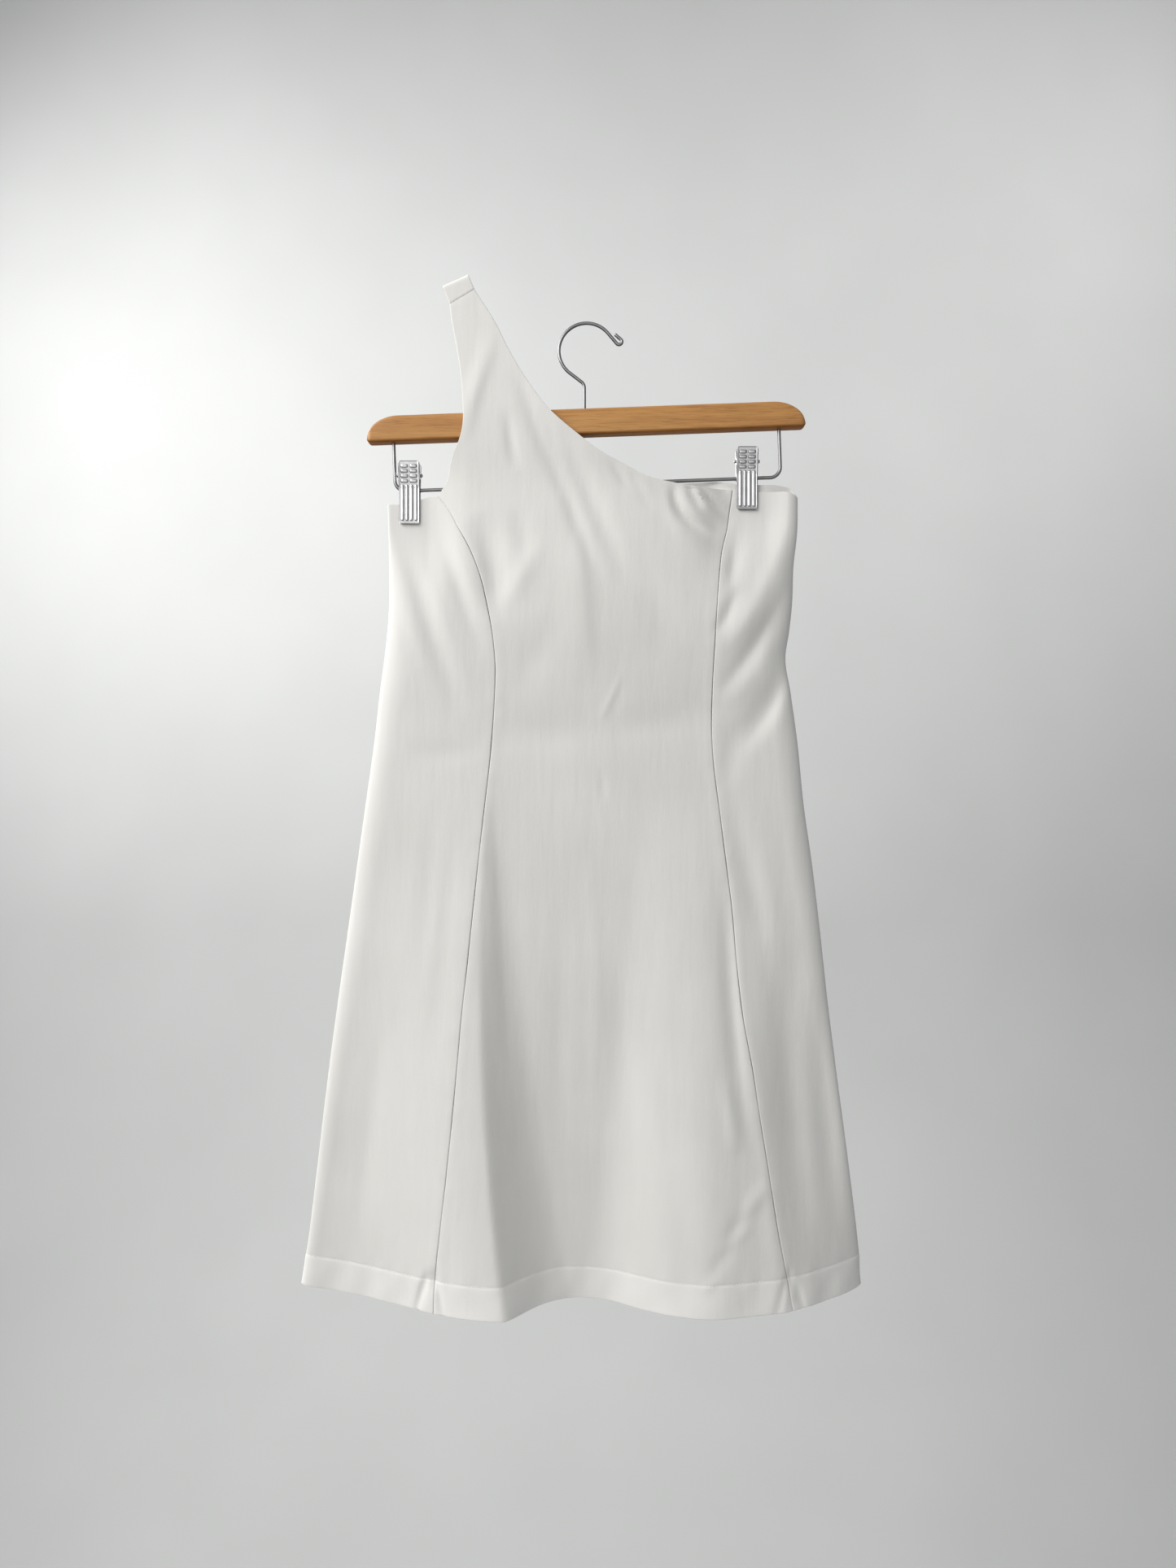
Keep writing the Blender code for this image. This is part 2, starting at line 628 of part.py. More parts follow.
def make_leaf(name, x, top, side, ear_x):
    """One pressed leaf of a clip: a bent strip with an ear at each edge for the pivot pin."""
    vertices = []
    for drop, away in LEAF_SIDE:
        for edge in (-0.5, 0.5):
            vertices.append(((x + edge * CLIP_WIDTH) * MM, side * away * MM, (top - drop) * MM))
    faces = [(2 * k, 2 * k + 1, 2 * k + 3, 2 * k + 2) for k in range(len(LEAF_SIDE) - 1)]
    if side > 0:
        faces = [face[::-1] for face in faces]
    mesh = bpy.data.meshes.new(name)
    mesh.from_pydata(vertices, [], faces)
    leaf = add_object(name, mesh, CHROME)
    thick = leaf.modifiers.new("sheet", "SOLIDIFY")
    thick.thickness = LEAF * MM
    thick.offset = -1.0
    pivot_z = top - PIVOT_DROP
    root = 3.6 + LEAF / 2
    for mark, middle in (("a", x - ear_x), ("b", x + ear_x)):
        near, far = sorted((-side * EAR_REACH, side * root))
        ear = cube(
            f"{name}_ear_{mark}",
            (middle - EAR_THICK / 2, near, pivot_z - EAR_HALF),
            (middle + EAR_THICK / 2, far, pivot_z + EAR_HALF),
        )
        add_boolean(leaf, ear, "UNION")
    bpy.ops.mesh.primitive_cylinder_add(
        vertices=16,
        radius=(PIN + SOCKET_GAP) * MM,
        depth=2 * CLIP_WIDTH * MM,
    )
    hole = bpy.context.object
    hole.name = f"{name}_hole"
    hole.location = (x * MM, 0.0, pivot_z * MM)
    hole.rotation_euler = (0.0, math.radians(90), 0.0)
    add_boolean(leaf, as_cutter(hole), "DIFFERENCE")


def make_pin(name, x, z):
    bpy.ops.mesh.primitive_cylinder_add(
        vertices=16,
        radius=PIN * MM,
        depth=(CLIP_WIDTH + 2 * PIN_END) * MM,
    )
    pin = bpy.context.object
    pin.name = name
    pin.location = (x * MM, 0.0, z * MM)
    pin.rotation_euler = (0.0, math.radians(90), 0.0)
    for collection in pin.users_collection:
        collection.objects.unlink(pin)
    parts.objects.link(pin)
    pin.data.materials.append(material(name, *STEEL))


def make_clips():
    """Two clips, each of a front leaf, a back leaf and a pin; the back ears sit inside the front ears."""
    outer_ear = CLIP_WIDTH / 2 - EAR_THICK / 2
    inner_ear = outer_ear - EAR_THICK - SOCKET_GAP
    for label, x, top in CLIPS:
        make_leaf(f"clip_{label}_front", x, top, -1, outer_ear)
        make_leaf(f"clip_{label}_back", x, top, 1, inner_ear)
        make_pin(f"clip_{label}_pin", x, top - PIVOT_DROP)


for old in list(bpy.data.objects):
    bpy.data.objects.remove(old, do_unlink=True)
parts = bpy.data.collections.new("one_shoulder_dress_on_hanger")
cutters = bpy.data.collections.new("cutters")
bpy.context.scene.collection.children.link(parts)
bpy.context.scene.collection.children.link(cutters)

make_front()
make_back()
hanger = bar_frame()
make_bar(hanger)
make_rod(hanger)
make_hook()
make_clips()
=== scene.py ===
"""A one-shoulder dress in white stretch cloth on a wooden clip hanger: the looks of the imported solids.

Lengths in the sections are in millimetres. +X is the viewer's right and +Y goes towards the back.
"""
import math

import bmesh
import bpy
import numpy as np
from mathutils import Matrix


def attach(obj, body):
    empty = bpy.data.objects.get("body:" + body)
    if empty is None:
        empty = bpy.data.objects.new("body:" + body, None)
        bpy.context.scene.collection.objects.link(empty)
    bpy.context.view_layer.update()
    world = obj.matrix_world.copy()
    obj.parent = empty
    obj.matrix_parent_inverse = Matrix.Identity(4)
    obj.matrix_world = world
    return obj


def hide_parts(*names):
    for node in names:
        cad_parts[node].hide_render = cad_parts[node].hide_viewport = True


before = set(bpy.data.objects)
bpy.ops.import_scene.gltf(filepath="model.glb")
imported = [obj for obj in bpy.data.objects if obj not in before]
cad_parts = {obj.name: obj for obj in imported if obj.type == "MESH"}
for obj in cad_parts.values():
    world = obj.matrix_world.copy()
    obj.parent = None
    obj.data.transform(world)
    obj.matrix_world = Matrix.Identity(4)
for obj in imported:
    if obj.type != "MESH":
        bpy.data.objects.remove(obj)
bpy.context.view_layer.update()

MM = 0.001


# Centre front. The real piece is one length of white stretch knit from the hem to the shoulder seam,
# with the strap in one with it. Princess seams join it to the side fronts, and it hangs in long folds.

CLOTH = 1.2            # thickness of the cloth
MIDDLE_GAP = 0.15      # each layer stays this far from the middle plane
SEAM_LINE = 0.26       # half of the fine line between two sewn pieces
SHOULDER_LINE = 0.15   # the same at the shoulder seam, which is pulled tight
SHOULDER_DIP = 0.2     # how far the front's last row of points dips into it
EDGE_ROLL = 0.58       # radius of a folded free edge
HEM_Z = -790.0         # height of the hem's edge in the middle
HEM_RISE = 10.0        # how much higher it is at the side seams
HEM_BAND = 25.0        # height of the stitch line above the hem

# Side seams: height, left seam, right seam
SIDES = np.array((
    (-141, -163.5, 170.8), (-170, -162.5, 170.3), (-195, -162.0, 167.5), (-230, -162.0, 166.0),
    (-252, -163.5, 163.5), (-270, -165.5, 160.8), (-300, -169.5, 165.0), (-340, -174.0, 170.5),
    (-390, -181.0, 175.5), (-440, -188.0, 182.5), (-490, -195.0, 188.5), (-550, -203.5, 195.0),
    (-610, -211.5, 202.5), (-690, -221.0, 213.0), (-750, -228.5, 220.0), (-790, -235.0, 223.0),
))

# Princess seams: height, left seam, right seam
PRINCESS = np.array((
    (-135, -126.0, 117.8), (-140, -122.0, 117.0), (-152, -113.0, 115.2), (-165, -106.0, 113.4),
    (-185, -95.0, 108.5), (-205, -87.0, 105.8), (-232, -80.5, 103.6), (-256, -76.3, 102.2),
    (-280, -74.4, 100.9), (-305, -75.2, 99.9), (-332, -77.0, 99.7), (-360, -79.5, 101.5),
    (-395, -83.5, 106.0), (-430, -87.3, 110.3), (-475, -92.0, 115.7), (-520, -96.5, 119.3),
    (-560, -100.7, 123.8), (-600, -104.0, 131.0), (-640, -107.6, 136.8), (-680, -111.5, 143.0),
    (-730, -117.0, 150.5), (-765, -120.5, 157.0), (-790, -121.0, 161.5),
))

# Edges of the strap and neck from the princess seams up to the shoulder seam: x, height
ARMHOLE = np.array((
    (-122.0, -139.8), (-117.5, -133.5), (-113.9, -126.4), (-111.4, -115.0), (-108.5, -105.0),
    (-104.0, -95.5), (-101.6, -86.0), (-101.3, -62.6), (-103.7, -36.4), (-107.1, -16.3),
    (-110.5, 1.2), (-112.2, 15.5),
))
NECKLINE = np.array((
    (117.8, -135.0), (97.1, -134.2), (77.9, -131.8), (63.4, -129.4), (47.5, -125.1), (30.1, -116.2),
    (7.7, -103.5), (-9.6, -90.2), (-30.6, -71.9), (-49.0, -47.9), (-63.3, -23.9), (-75.0, -0.1),
    (-92.2, 27.6),
))
STRAP_LEAN = np.array((-0.367, 0.0, 0.930))

# How far each layer stands out from the middle plane: height, front, back
STAND = np.array((
    (45, 4.6, 4.6), (25, 4.8, 4.8), (0, 6.6, 6.6), (-30, 8.8, 8.8), (-65, 10.6, 10.6),
    (-100, 10.6, 10.6), (-130, 10.0, 8.4), (-165, 13.0, 9.0), (-200, 16.5, 10.0),
    (-240, 18.0, 10.5), (-280, 15.5, 9.5), (-320, 12.5, 8.5), (-360, 12.0, 9.0),
    (-420, 12.0, 10.0), (-500, 11.0, 10.5), (-600, 9.0, 10.0), (-700, 7.0, 9.0), (-790, 5.5, 8.5),
))

# Long folds: crest x at the hem, crest x where it starts, how far the crest bends aside halfway, height
# where it starts, depth at the hem, width to the left and to the right at the hem, how sharply the right
# side leaves the crest, and the power of that sharp side's fall
FRONT_DRAPE = (
    (-66, -79, -14, -345, 44, 150, 54, 0.8, 2),
    (80, 76, 0, -380, 36, 84, 70, 0, 2),
    (149, 103, 0, -380, 35, 80, 94, 0.85, 1.2),
)

# Soft creases, drawn from the top down: x and height of the start, middle and end, depth (a trough is
# negative), width, and where the two flanks differ a second width for the viewer's right
FRONT_CREASES = (
    # strap and neck
    (-74, -6, -90, -54, -101, -100, 1.5, 8, 6),
    (-66, -70, -62, -97, -57, -122, -1.3, 5),
    (-60, -34, -38, -94, -20, -142, -1.6, 6.5),
    (-38, -66, -18, -136, 10, -214, -2.6, 6.5),
    (-26, -80, 2, -144, 36, -222, -2.3, 9),
    (-46, -64, -24, -118, -6, -166, 1.2, 6),
    (16, -109, 26, -125, 37, -140, -1, 4),
    (31, -121, 43, -138, 54, -155, -0.9, 4.5),
    (48, -126, 60, -148, 74, -170, -0.8, 6),
    # bust
    (-90, -156, -76, -198, -73, -246, -3.8, 10, 12),
    (-60, -150, -52, -176, -52, -206, -1.2, 8),
    (-36, -176, -54, -208, -74, -244, 1.2, 8),
    (-10, -160, -6, -220, 2, -296, 1.6, 15, 9),
    (34, -176, 52, -224, 74, -268, -1.1, 14),
    (-34, -236, -40, -270, -60, -304, -0.9, 12),
    # left side front
    (-153, -160, -134, -226, -100, -322, -3.2, 9),
    (-130, -156, -110, -200, -84, -274, -2.6, 7),
    (-142, -164, -124, -222, -94, -300, 0.8, 7.5),
    (-116, -160, -100, -196, -84, -244, 0.6, 6),
    (-160, -218, -150, -250, -136, -282, -1.2, 6.5),
    # right side front
    (123, -160, 119, -188, 114, -218, -3.2, 5, 7),
    (145, -148, 151, -188, 140, -226, 2.2, 9),
    (147, -200, 128, -240, 102, -272, 1.8, 7.5),
    (122, -214, 112, -237, 103, -254, -1.8, 5),
    (171, -196, 142, -254, 105, -304, -4.4, 8, 13),
    (154, -240, 134, -279, 106, -314, 1.8, 8),
    (167, -240, 155, -296, 116, -350, -5, 13, 8),
    (120, -320, 116, -350, 112, -380, -1.2, 9),
    # gathers beside the right clip
    (70, -130, 77, -156, 108, -172, -4.4, 4.6, 3),
    (80, -131, 87, -144, 95, -149, -2.6, 2.4),
    (90, -135, 102, -146, 118, -157, -4.4, 1.6, 2),
    (84, -134, 97, -152, 114, -164, 1.6, 3),
    (62, -140, 72, -166, 100, -186, 1.2, 6),
    # waist
    (-90, -326, -35, -334, 16, -330, -1.6, 16),
    (-6, -330, 50, -326, 114, -310, -0.9, 13),
    (27, -284, 19, -304, 8, -326, 0.45, 2.6),
    (33, -284, 25, -306, 14, -328, -0.15, 4),
    (10, -360, 12, -376, 13, -390, -0.5, 3),
    (-150, -346, -118, -350, -84, -346, -0.8, 9),
    # skirt
    (-76, -366, -70, -480, -62, -610, -1.6, 6, 12),
    (110, -440, 116, -560, 127, -660, -2.4, 8, 5),
    (108, -606, 114, -640, 117, -668, 1.6, 6),
    (142, -686, 131, -703, 115, -720, 1.3, 6),
    (130, -716, 115, -731, 96, -744, 1, 5),
    (107, -754, 97, -763, 86, -770, 0.8, 4),
    (124, -700, 112, -731, 94, -763, -1.5, 6),
    (112, -372, 127, -437, 143, -500, -1.8, 10),
    (158, -500, 164, -630, 174, -760, -4.5, 15),
    (183, -540, 193, -640, 203, -750, -4.6, 14),
    (138, -420, 150, -490, 160, -560, 1, 9),
    (-125, -385, -129, -463, -135, -541, -0.9, 9),
    (-106, -398, -114, -495, -124, -612, -0.9, 8),
    (-165, -561, -177, -660, -186, -751, -1.1, 9),
    (24, -516, 30, -614, 39, -725, -0.8, 9),
    (-21, -463, -23, -595, -25, -726, -0.7, 9),
    (2, -420, 6, -520, 4, -640, 0.5, 6),
    (56, -560, 62, -640, 66, -740, -0.6, 7),
    # puckers that spread from the seams' ends to the hem
    (-125, -757, -131, -775, -137, -797, -2.4, 2.6),
    (-119, -757, -116, -776, -112, -797, -2, 2.6),
    (-121, -754, -121, -764, -121, -774, -2, 3),
    (158, -752, 158.5, -764, 159, -776, -2, 3),
    (156, -758, 151, -776, 145, -797, -1.8, 2.6),
    (160, -760, 166, -776, 172, -793, -1.5, 3),
)

# Ridges gathered right beside the right clip, which its pinch leaves as they are
GATHERS = (
    (95, -134.5, 107, -144, 119, -151, 1.4, 1.9),
    (84, -135, 98, -149, 115, -161, 1.9, 2.8),
    (74, -134, 86, -154, 104, -170, 1.0, 3.0),
)

# Where the clips press the two layers flat: x of the middle, height of the top edge
CLIPS = (("left", -145.2, -112.0), ("right", 129.3, -100.4))
CLIP_HEIGHT = 51.0
CLIP_BITE = 1.35       # the cloth's outer face stands this far out under a clip

# Steps of the grids beside an edge and above the hem
EDGE_STEPS = np.array((0.0, 0.25, 0.6, 1.1, 1.8, 2.8, 4.2, 6.0, 8.2))
HEM_STEPS = np.array((
    0.0, 0.25, 0.6, 1.2, 2.4, 4.5, 7.5, 11.0, 15.0, 18.5, 21.0, 22.8, 23.7, 24.3, 24.7, 25.0,
    25.3, 25.7, 26.3, 27.2, 28.6, 31.0,
))


def table_curve(table, column, height):
    """A smooth cubic through one column of a table whose first column is the height, from the top down."""
    z = -table[:, 0]
    v = table[:, column]
    slope = np.gradient(v, z)
    t = np.clip(-np.asarray(height, float), z[0], z[-1])
    k = np.clip(np.searchsorted(z, t, side="right") - 1, 0, len(z) - 2)
    step = z[k + 1] - z[k]
    f = (t - z[k]) / step
    start = (1 + 2 * f) * (1 - f) ** 2 * v[k] + f * (1 - f) ** 2 * step * slope[k]
    end = f * f * (3 - 2 * f) * v[k + 1] - f * f * (1 - f) * step * slope[k + 1]
    return start + end


def lengths(points, axis=0):
    """How far along its column, or with axis 1 its row, each point lies."""
    start = np.take(points, [0], axis=axis)
    return np.cumsum(np.linalg.norm(np.diff(points, axis=axis, prepend=start), axis=-1), axis=axis)


def unit(ways):
    """Directions, each with a length of one."""
    return ways / np.linalg.norm(ways, axis=-1, keepdims=True)


def edge_curve(points, share):
    """Points at shares 0 to 1 of the length of an edge, on a smooth cubic through its points."""
    length = lengths(points)
    table = np.column_stack((-length, points))
    reach = -np.asarray(share) * length[-1]
    return table_curve(table, 1, reach), table_curve(table, 2, reach)


def drape(table, x, z):
    """Sum of long folds: each is a squared cosine across, and deepens and widens towards the hem.

    On its right side a crisp fold mixes in a power of (1 - share), which leaves the crest at once.
    """
    total = np.zeros_like(x)
    for hem_x, start_x, bend, start_z, depth, left, right, crisp, power in table:
        grow = np.clip((start_z - z) / (start_z - HEM_Z), 0.0, 1.0)
        away = x - (start_x + (hem_x - start_x) * grow + 4 * bend * grow * (1 - grow))
        width = np.where(away < 0, left, right) * (0.45 + 0.55 * grow)
        t = np.clip(away / width, -1.0, 1.0)
        soft = np.cos(0.5 * math.pi * t) ** 2
        sharp = np.clip(1.07 - np.sqrt(t ** 2 + 0.0049), 0.0, 1.0) ** power
        total += depth * grow ** 1.5 * np.where(away < 0, soft, soft + crisp * (sharp - soft))
    return total


def creases(table, x, z):
    """Sum of soft creases: a bell across a quadratic curve, fading to nothing at its two ends.

    The curve is taken as twelve straight pieces. The distance of a point is that to the nearest of
    them, its side of that piece picks the width, and its share of the length sets the fade.
    """
    total = np.zeros_like(x)
    s = np.linspace(0.0, 1.0, 13)
    for x0, z0, xm, zm, x1, z1, depth, width, *other in table:
        right = other[0] if other else width
        xc = 2 * xm - (x0 + x1) / 2
        zc = 2 * zm - (z0 + z1) / 2
        px = (1 - s) ** 2 * x0 + 2 * s * (1 - s) * xc + s * s * x1
        pz = (1 - s) ** 2 * z0 + 2 * s * (1 - s) * zc + s * s * z1
        reach = 3 * max(width, right)
        near = (x > px.min() - reach) & (x < px.max() + reach)
        near &= (z > pz.min() - reach) & (z < pz.max() + reach)
        dx = x[near][:, None] - px[:-1]
        dz = z[near][:, None] - pz[:-1]
        sx = np.diff(px)
        sz = np.diff(pz)
        t = np.clip((dx * sx + dz * sz) / (sx ** 2 + sz ** 2), 0.0, 1.0)
        away = (dx - t * sx) ** 2 + (dz - t * sz) ** 2
        nearest = np.argmin(away, axis=1)
        row = np.arange(len(nearest))
        along = (nearest + t[row, nearest]) / 12
        turn = (sx * dz - sz * dx)[row, nearest]
        flank = np.where(turn > 0, right, width)
        total[near] += depth * (4 * along * (1 - along)) ** 1.25 * np.exp(-away[row, nearest] / flank ** 2)
    return total


def pinch(x, z):
    """One where a clip presses the cloth flat, fading over some lengths beside, below and above it."""
    flat_half = 13.0
    flat_drop = 20.0   # how far the flat part ends below the clip's top
    fade_beside, fade_below, fade_above = 22.0, 45.0, 25.0
    free = np.ones_like(x)
    for _, clip_x, clip_top in CLIPS:
        beside = np.maximum(np.abs(x - clip_x) - flat_half, 0.0) / fade_beside
        below = np.maximum(clip_top - CLIP_HEIGHT - z, 0.0) / fade_below
        above = np.maximum(z - clip_top + flat_drop, 0.0) / fade_above
        free *= 1 - np.exp(-beside ** 2 - below ** 2 - above ** 2)
    return 1 - free


def waves(x, z):
    """Faint unevenness of a hanging knit: three products of slow sines, fading out towards the top."""
    slow = np.sin(x / 17.0 + z / 61.0 + 0.7) * np.sin(z / 43.0 - x / 71.0)
    long = np.sin(x / 29.0 - z / 120.0 + 2.1) * np.cos(z / 88.0 + 0.4)
    fine = np.sin(x / 9.0 + z / 33.0) * np.sin(z / 27.0 + x / 50.0 + 1.3)
    return (0.20 * slow + 0.22 * long + 0.08 * fine) * np.clip((-150.0 - z) / 150.0, 0.2, 1.0)


def layer_depth(x, z, column, drapes, folds):
    """Distance of a layer's outer face from the middle plane.

    It is a dome of the height that STAND gives, with its folds, pressed flat at the clips and
    rounded like a quarter ellipse towards the two side seams.
    """
    left = table_curve(SIDES, 1, z)
    right = table_curve(SIDES, 2, z)
    across = (2 * x - left - right) / (right - left)
    dome = table_curve(STAND, column, z) * (0.75 + 0.25 * (1 - np.clip(across, -1, 1) ** 2))
    full = dome + drape(drapes, x, z) + creases(folds, x, z) + waves(x, z)
    depth = CLIP_BITE + np.maximum(full - CLIP_BITE, 0.0) * (1 - pinch(x, z))
    inside = np.clip(np.minimum(x - left, right - x) / (2 * depth), 0.0, 1.0)
    return MIDDLE_GAP + (depth - MIDDLE_GAP) * np.sqrt(1 - (1 - inside) ** 2)


def front_depth(x, z):
    """The front's folds and creases, and the gathers that the clip's pinch leaves."""
    return layer_depth(x, z, 1, FRONT_DRAPE, FRONT_CREASES) + creases(GATHERS, x, z)


def field(x, z, depth, side):
    """Outer points and outward normals of a layer; side is -1 for the front and 1 for the back."""
    step = 0.5
    points = np.stack((x, side * depth(x, z), z), axis=-1)
    slope_x = (depth(x + step, z) - depth(x - step, z)) / (2 * step)
    slope_z = (depth(x, z + step) - depth(x, z - step)) / (2 * step)
    return points, unit(np.stack((-slope_x, np.full_like(x, side), -slope_z), axis=-1))


def hem_height(x):
    """Height of the hem's edge, which rises towards the two side seams."""
    left, right = SIDES[-1, 1:]
    across = np.clip((2 * x - left - right) / (right - left), -1, 1)
    return HEM_Z + HEM_RISE * across ** 4


def side_seam(column):
    """A side seam's x as a function of the height: column 1 is the left one, 2 the right one."""
    return lambda z: table_curve(SIDES, column, z)


def spread(near, far, count):
    """Places between two edges as a + b * length: fixed steps at both ends and even ones between."""
    t = np.linspace(0.0, 1.0, count + 2)[1:-1]
    a = np.concatenate((near, near[-1] - (near[-1] + far[-1]) * t, -far[::-1]))
    b = np.concatenate((np.zeros(len(near)), t, np.ones(len(far))))
    return a, b


def body_grid(left_edge, right_edge, top, across, up):
    """Rows from the hem to the top edge; a point's x lies between two edges at its own height."""
    z = np.linspace(HEM_Z, -140.0, len(up[0]))[:, None] + np.zeros(len(across[0]))
    for _ in range(8):
        left = left_edge(z)
        x = left + across[0] + across[1] * (right_edge(z) - left)
        hem = hem_height(x)
        z = hem + up[0][:, None] + up[1][:, None] * (top(x) - hem)
    return x, z


def yoke_grid(left_points, right_points, across, rows):
    """Rows that join two edges at equal shares of their lengths, without the first row."""
    share = np.linspace(0.0, 1.0, rows + 1)[1:]
    left_x, left_z = (v[:, None] for v in edge_curve(left_points, share))
    right_x, right_z = (v[:, None] for v in edge_curve(right_points, share))
    length = np.hypot(right_x - left_x, right_z - left_z)
    t = (across[0] + across[1] * length) / length
    return left_x + (right_x - left_x) * t, left_z + (right_z - left_z) * t


def seam_relief(distance, along):
    """A sewn seam: the cloth dips into the line, and the allowance under it lifts it and puckers it."""
    dip = -0.45 * np.clip(1 - distance / 0.7, 0.0, 1.0) ** 2
    lift = 0.13 * np.exp(-((distance - 4.0) / 2.8) ** 2)
    pucker = 0.10 * np.sin(along / 2.9) * np.sin(along / 17.0 + 1.0) + 0.08 * np.sin(along / 5.3 + 2.0)
    return dip + lift + pucker * np.exp(-(distance / 5.0) ** 2)


def edge_relief(distance):
    """A folded free edge: a quarter circle of about half the cloth's thickness."""
    inside = np.clip(EDGE_ROLL - distance, 0.0, EDGE_ROLL)
    return np.sqrt(EDGE_ROLL ** 2 - inside ** 2) - EDGE_ROLL


def hem_relief(x, z):
    """The hem: a band of doubled cloth below a stitched groove, faint pulls along it, a folded edge."""
    height = z - hem_height(x)
    band = 0.26 / (1 + np.exp(np.clip((height - HEM_BAND) / 0.6, -50, 50)))
    groove = -0.24 * np.exp(-((height - HEM_BAND) / 0.9) ** 2)
    pulls = 0.18 * np.sin(x / 3.1 + 2 * np.sin(x / 23.0)) * np.exp(-((height - HEM_BAND) / 6.0) ** 2)
    roll = 0.62 * np.sin(x / 6.5 + 2.2 * np.sin(x / 29.0)) * np.exp(-((height - 8.0) / 11.0) ** 2)
    return band + groove + pulls + roll + edge_relief(height)


def grid_faces(rows, columns, wrap=False):
    """Quads of a grid whose points are numbered row by row; wrap joins the last column to the first."""
    index = np.arange(rows * columns).reshape(rows, columns)
    if wrap:
        index = np.column_stack((index, index[:, :1]))
    corners = (index[:-1, :-1], index[:-1, 1:], index[1:, 1:], index[1:, :-1])
    return np.stack(corners, axis=-1).reshape(-1, 4)


def shell(outer, inner):
    """A closed wall: an outer grid, an inner grid turned round, and a rim between their edges."""
    rows, columns = outer.shape[:2]
    index = np.arange(rows * columns).reshape(rows, columns)
    quads = grid_faces(rows, columns)
    rim = np.concatenate((index[0, :], index[1:, -1], index[-1, -2::-1], index[-2:0:-1, 0]))
    ahead = np.roll(rim, -1)
    count = rows * columns
    sides = np.stack((rim, rim + count, ahead + count, ahead), axis=-1)
    faces = np.concatenate((quads, quads[:, ::-1] + count, sides))
    return np.concatenate((outer.reshape(-1, 3), inner.reshape(-1, 3))), faces


def joined(*meshes):
    """Several sets of vertices and quads as one."""
    starts = np.cumsum([0] + [len(vertices) for vertices, _ in meshes[:-1]])
    faces = np.concatenate([quads + start for (_, quads), start in zip(meshes, starts)])
    return np.concatenate([vertices for vertices, _ in meshes]), faces


def new_piece(name, node, vertices, faces, finish, slot, uv=None, merge=0.0, tone=None):
    """A piece from vertices in millimetres, with its faces turned outwards and smooth shading.

    It takes the place of a node, or of none. Its tone, one value a vertex, is an attribute that its
    material reads.
    """
    mesh = bpy.data.meshes.new(name)
    mesh.from_pydata((np.asarray(vertices) * MM).tolist(), [], np.asarray(faces).tolist())
    if tone is not None:
        mesh.attributes.new("tone", "FLOAT", "POINT").data.foreach_set("value", tone)
    shape = bmesh.new()
    shape.from_mesh(mesh)
    if merge:
        bmesh.ops.remove_doubles(shape, verts=shape.verts, dist=merge * MM)
    bmesh.ops.recalc_face_normals(shape, faces=shape.faces)
    shape.to_mesh(mesh)
    shape.free()
    if uv is not None:
        corner = np.empty(len(mesh.loops), np.int32)
        mesh.loops.foreach_get("vertex_index", corner)
        layer = mesh.uv_layers.new(name="cut")
        layer.data.foreach_set("uv", (uv[corner] * MM).ravel())
    mesh.shade_smooth()
    mesh.set_sharp_from_angle(angle=math.radians(42))
    mesh.materials.append(finish)
    piece = bpy.data.objects.new(name, mesh)
    bpy.context.scene.collection.objects.link(piece)
    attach(piece, "root")
    if node:
        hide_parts(node)
    return piece


def inside_face(points, normals, side):
    """The inner face of the cloth, kept on its own side of the middle plane."""
    inner = points - normals * CLOTH
    inner[..., 1] = side * np.maximum(side * inner[..., 1], MIDDLE_GAP)
    return inner


def cloth_piece(name, node, points, normals, inner, relief):
    """A wall of cloth in place of a node: the outer face carries the relief, the inner face is plain.

    Its UV map is the cloth's own surface, lengths along the rows and up the columns. Its tone is one
    in the hem's doubled band and falls to zero at the stitch line.
    """
    outer = points + normals * relief[..., None]
    uv = np.stack((lengths(points, 1), lengths(points)), axis=-1).reshape(-1, 2)
    above = points[..., 2] - hem_height(points[..., 0]) - HEM_BAND
    band = 1 / (1 + np.exp(np.clip(above / 0.4, -50, 50)))
    wall = shell(outer, inner)
    tone = np.tile(band.ravel(), 2)
    return new_piece(name, node, *wall, KNIT, "white_cloth", uv=np.tile(uv, (2, 1)), tone=tone)


def new_finish(name):
    """A material, a function that adds a node to it, and a function that fills its shader's inputs.

    A value that is a socket is linked, and any other is set on the input or the setting of its name.
    """
    finish = bpy.data.materials.new(name)
    finish.use_nodes = True
    tree = finish.node_tree

    def fill(node, values):
        for key, value in values.items():
            if isinstance(value, bpy.types.NodeSocket):
                tree.links.new(value, node.inputs[key])
            elif key in node.inputs:
                node.inputs[key].default_value = value
            else:
                setattr(node, key, value)

    def add(kind, output, **values):
        node = tree.nodes.new("ShaderNode" + kind)
        fill(node, values)
        return node.outputs[output]

    def shade(**values):
        fill(tree.nodes["Principled BSDF"], {key.replace("_", " "): value for key, value in values.items()})

    return finish, add, shade


def ramp(add, share, *stops):
    """Colours from rows of position, red, green and blue, picked by a share from 0 to 1."""
    colour = add("ValToRGB", "Color", Fac=share)
    band = colour.node.color_ramp.elements
    while len(band) < len(stops):
        band.new(0.5)
    for element, (place, *value) in zip(band, stops):
        element.position = place
        element.color = (*value, 1.0)
    return colour


def noise(add, stretch, detail, turn=0.0, place=None, **values):
    """Noise on the object's own coordinates, or another place, stretched by axis and turned about y."""
    if place is None:
        place = add("TexCoord", "Object")
    seat = add("Mapping", "Vector", Vector=place, Rotation=(0.0, turn, 0.0), Scale=stretch)
    return add("TexNoise", "Fac", Vector=seat, Scale=1.0, Detail=detail, **values)


def bumpy(add, height, strength, distance, **values):
    """A normal that follows a height."""
    return add("Bump", "Normal", Height=height, Strength=strength, Distance=distance, **values)


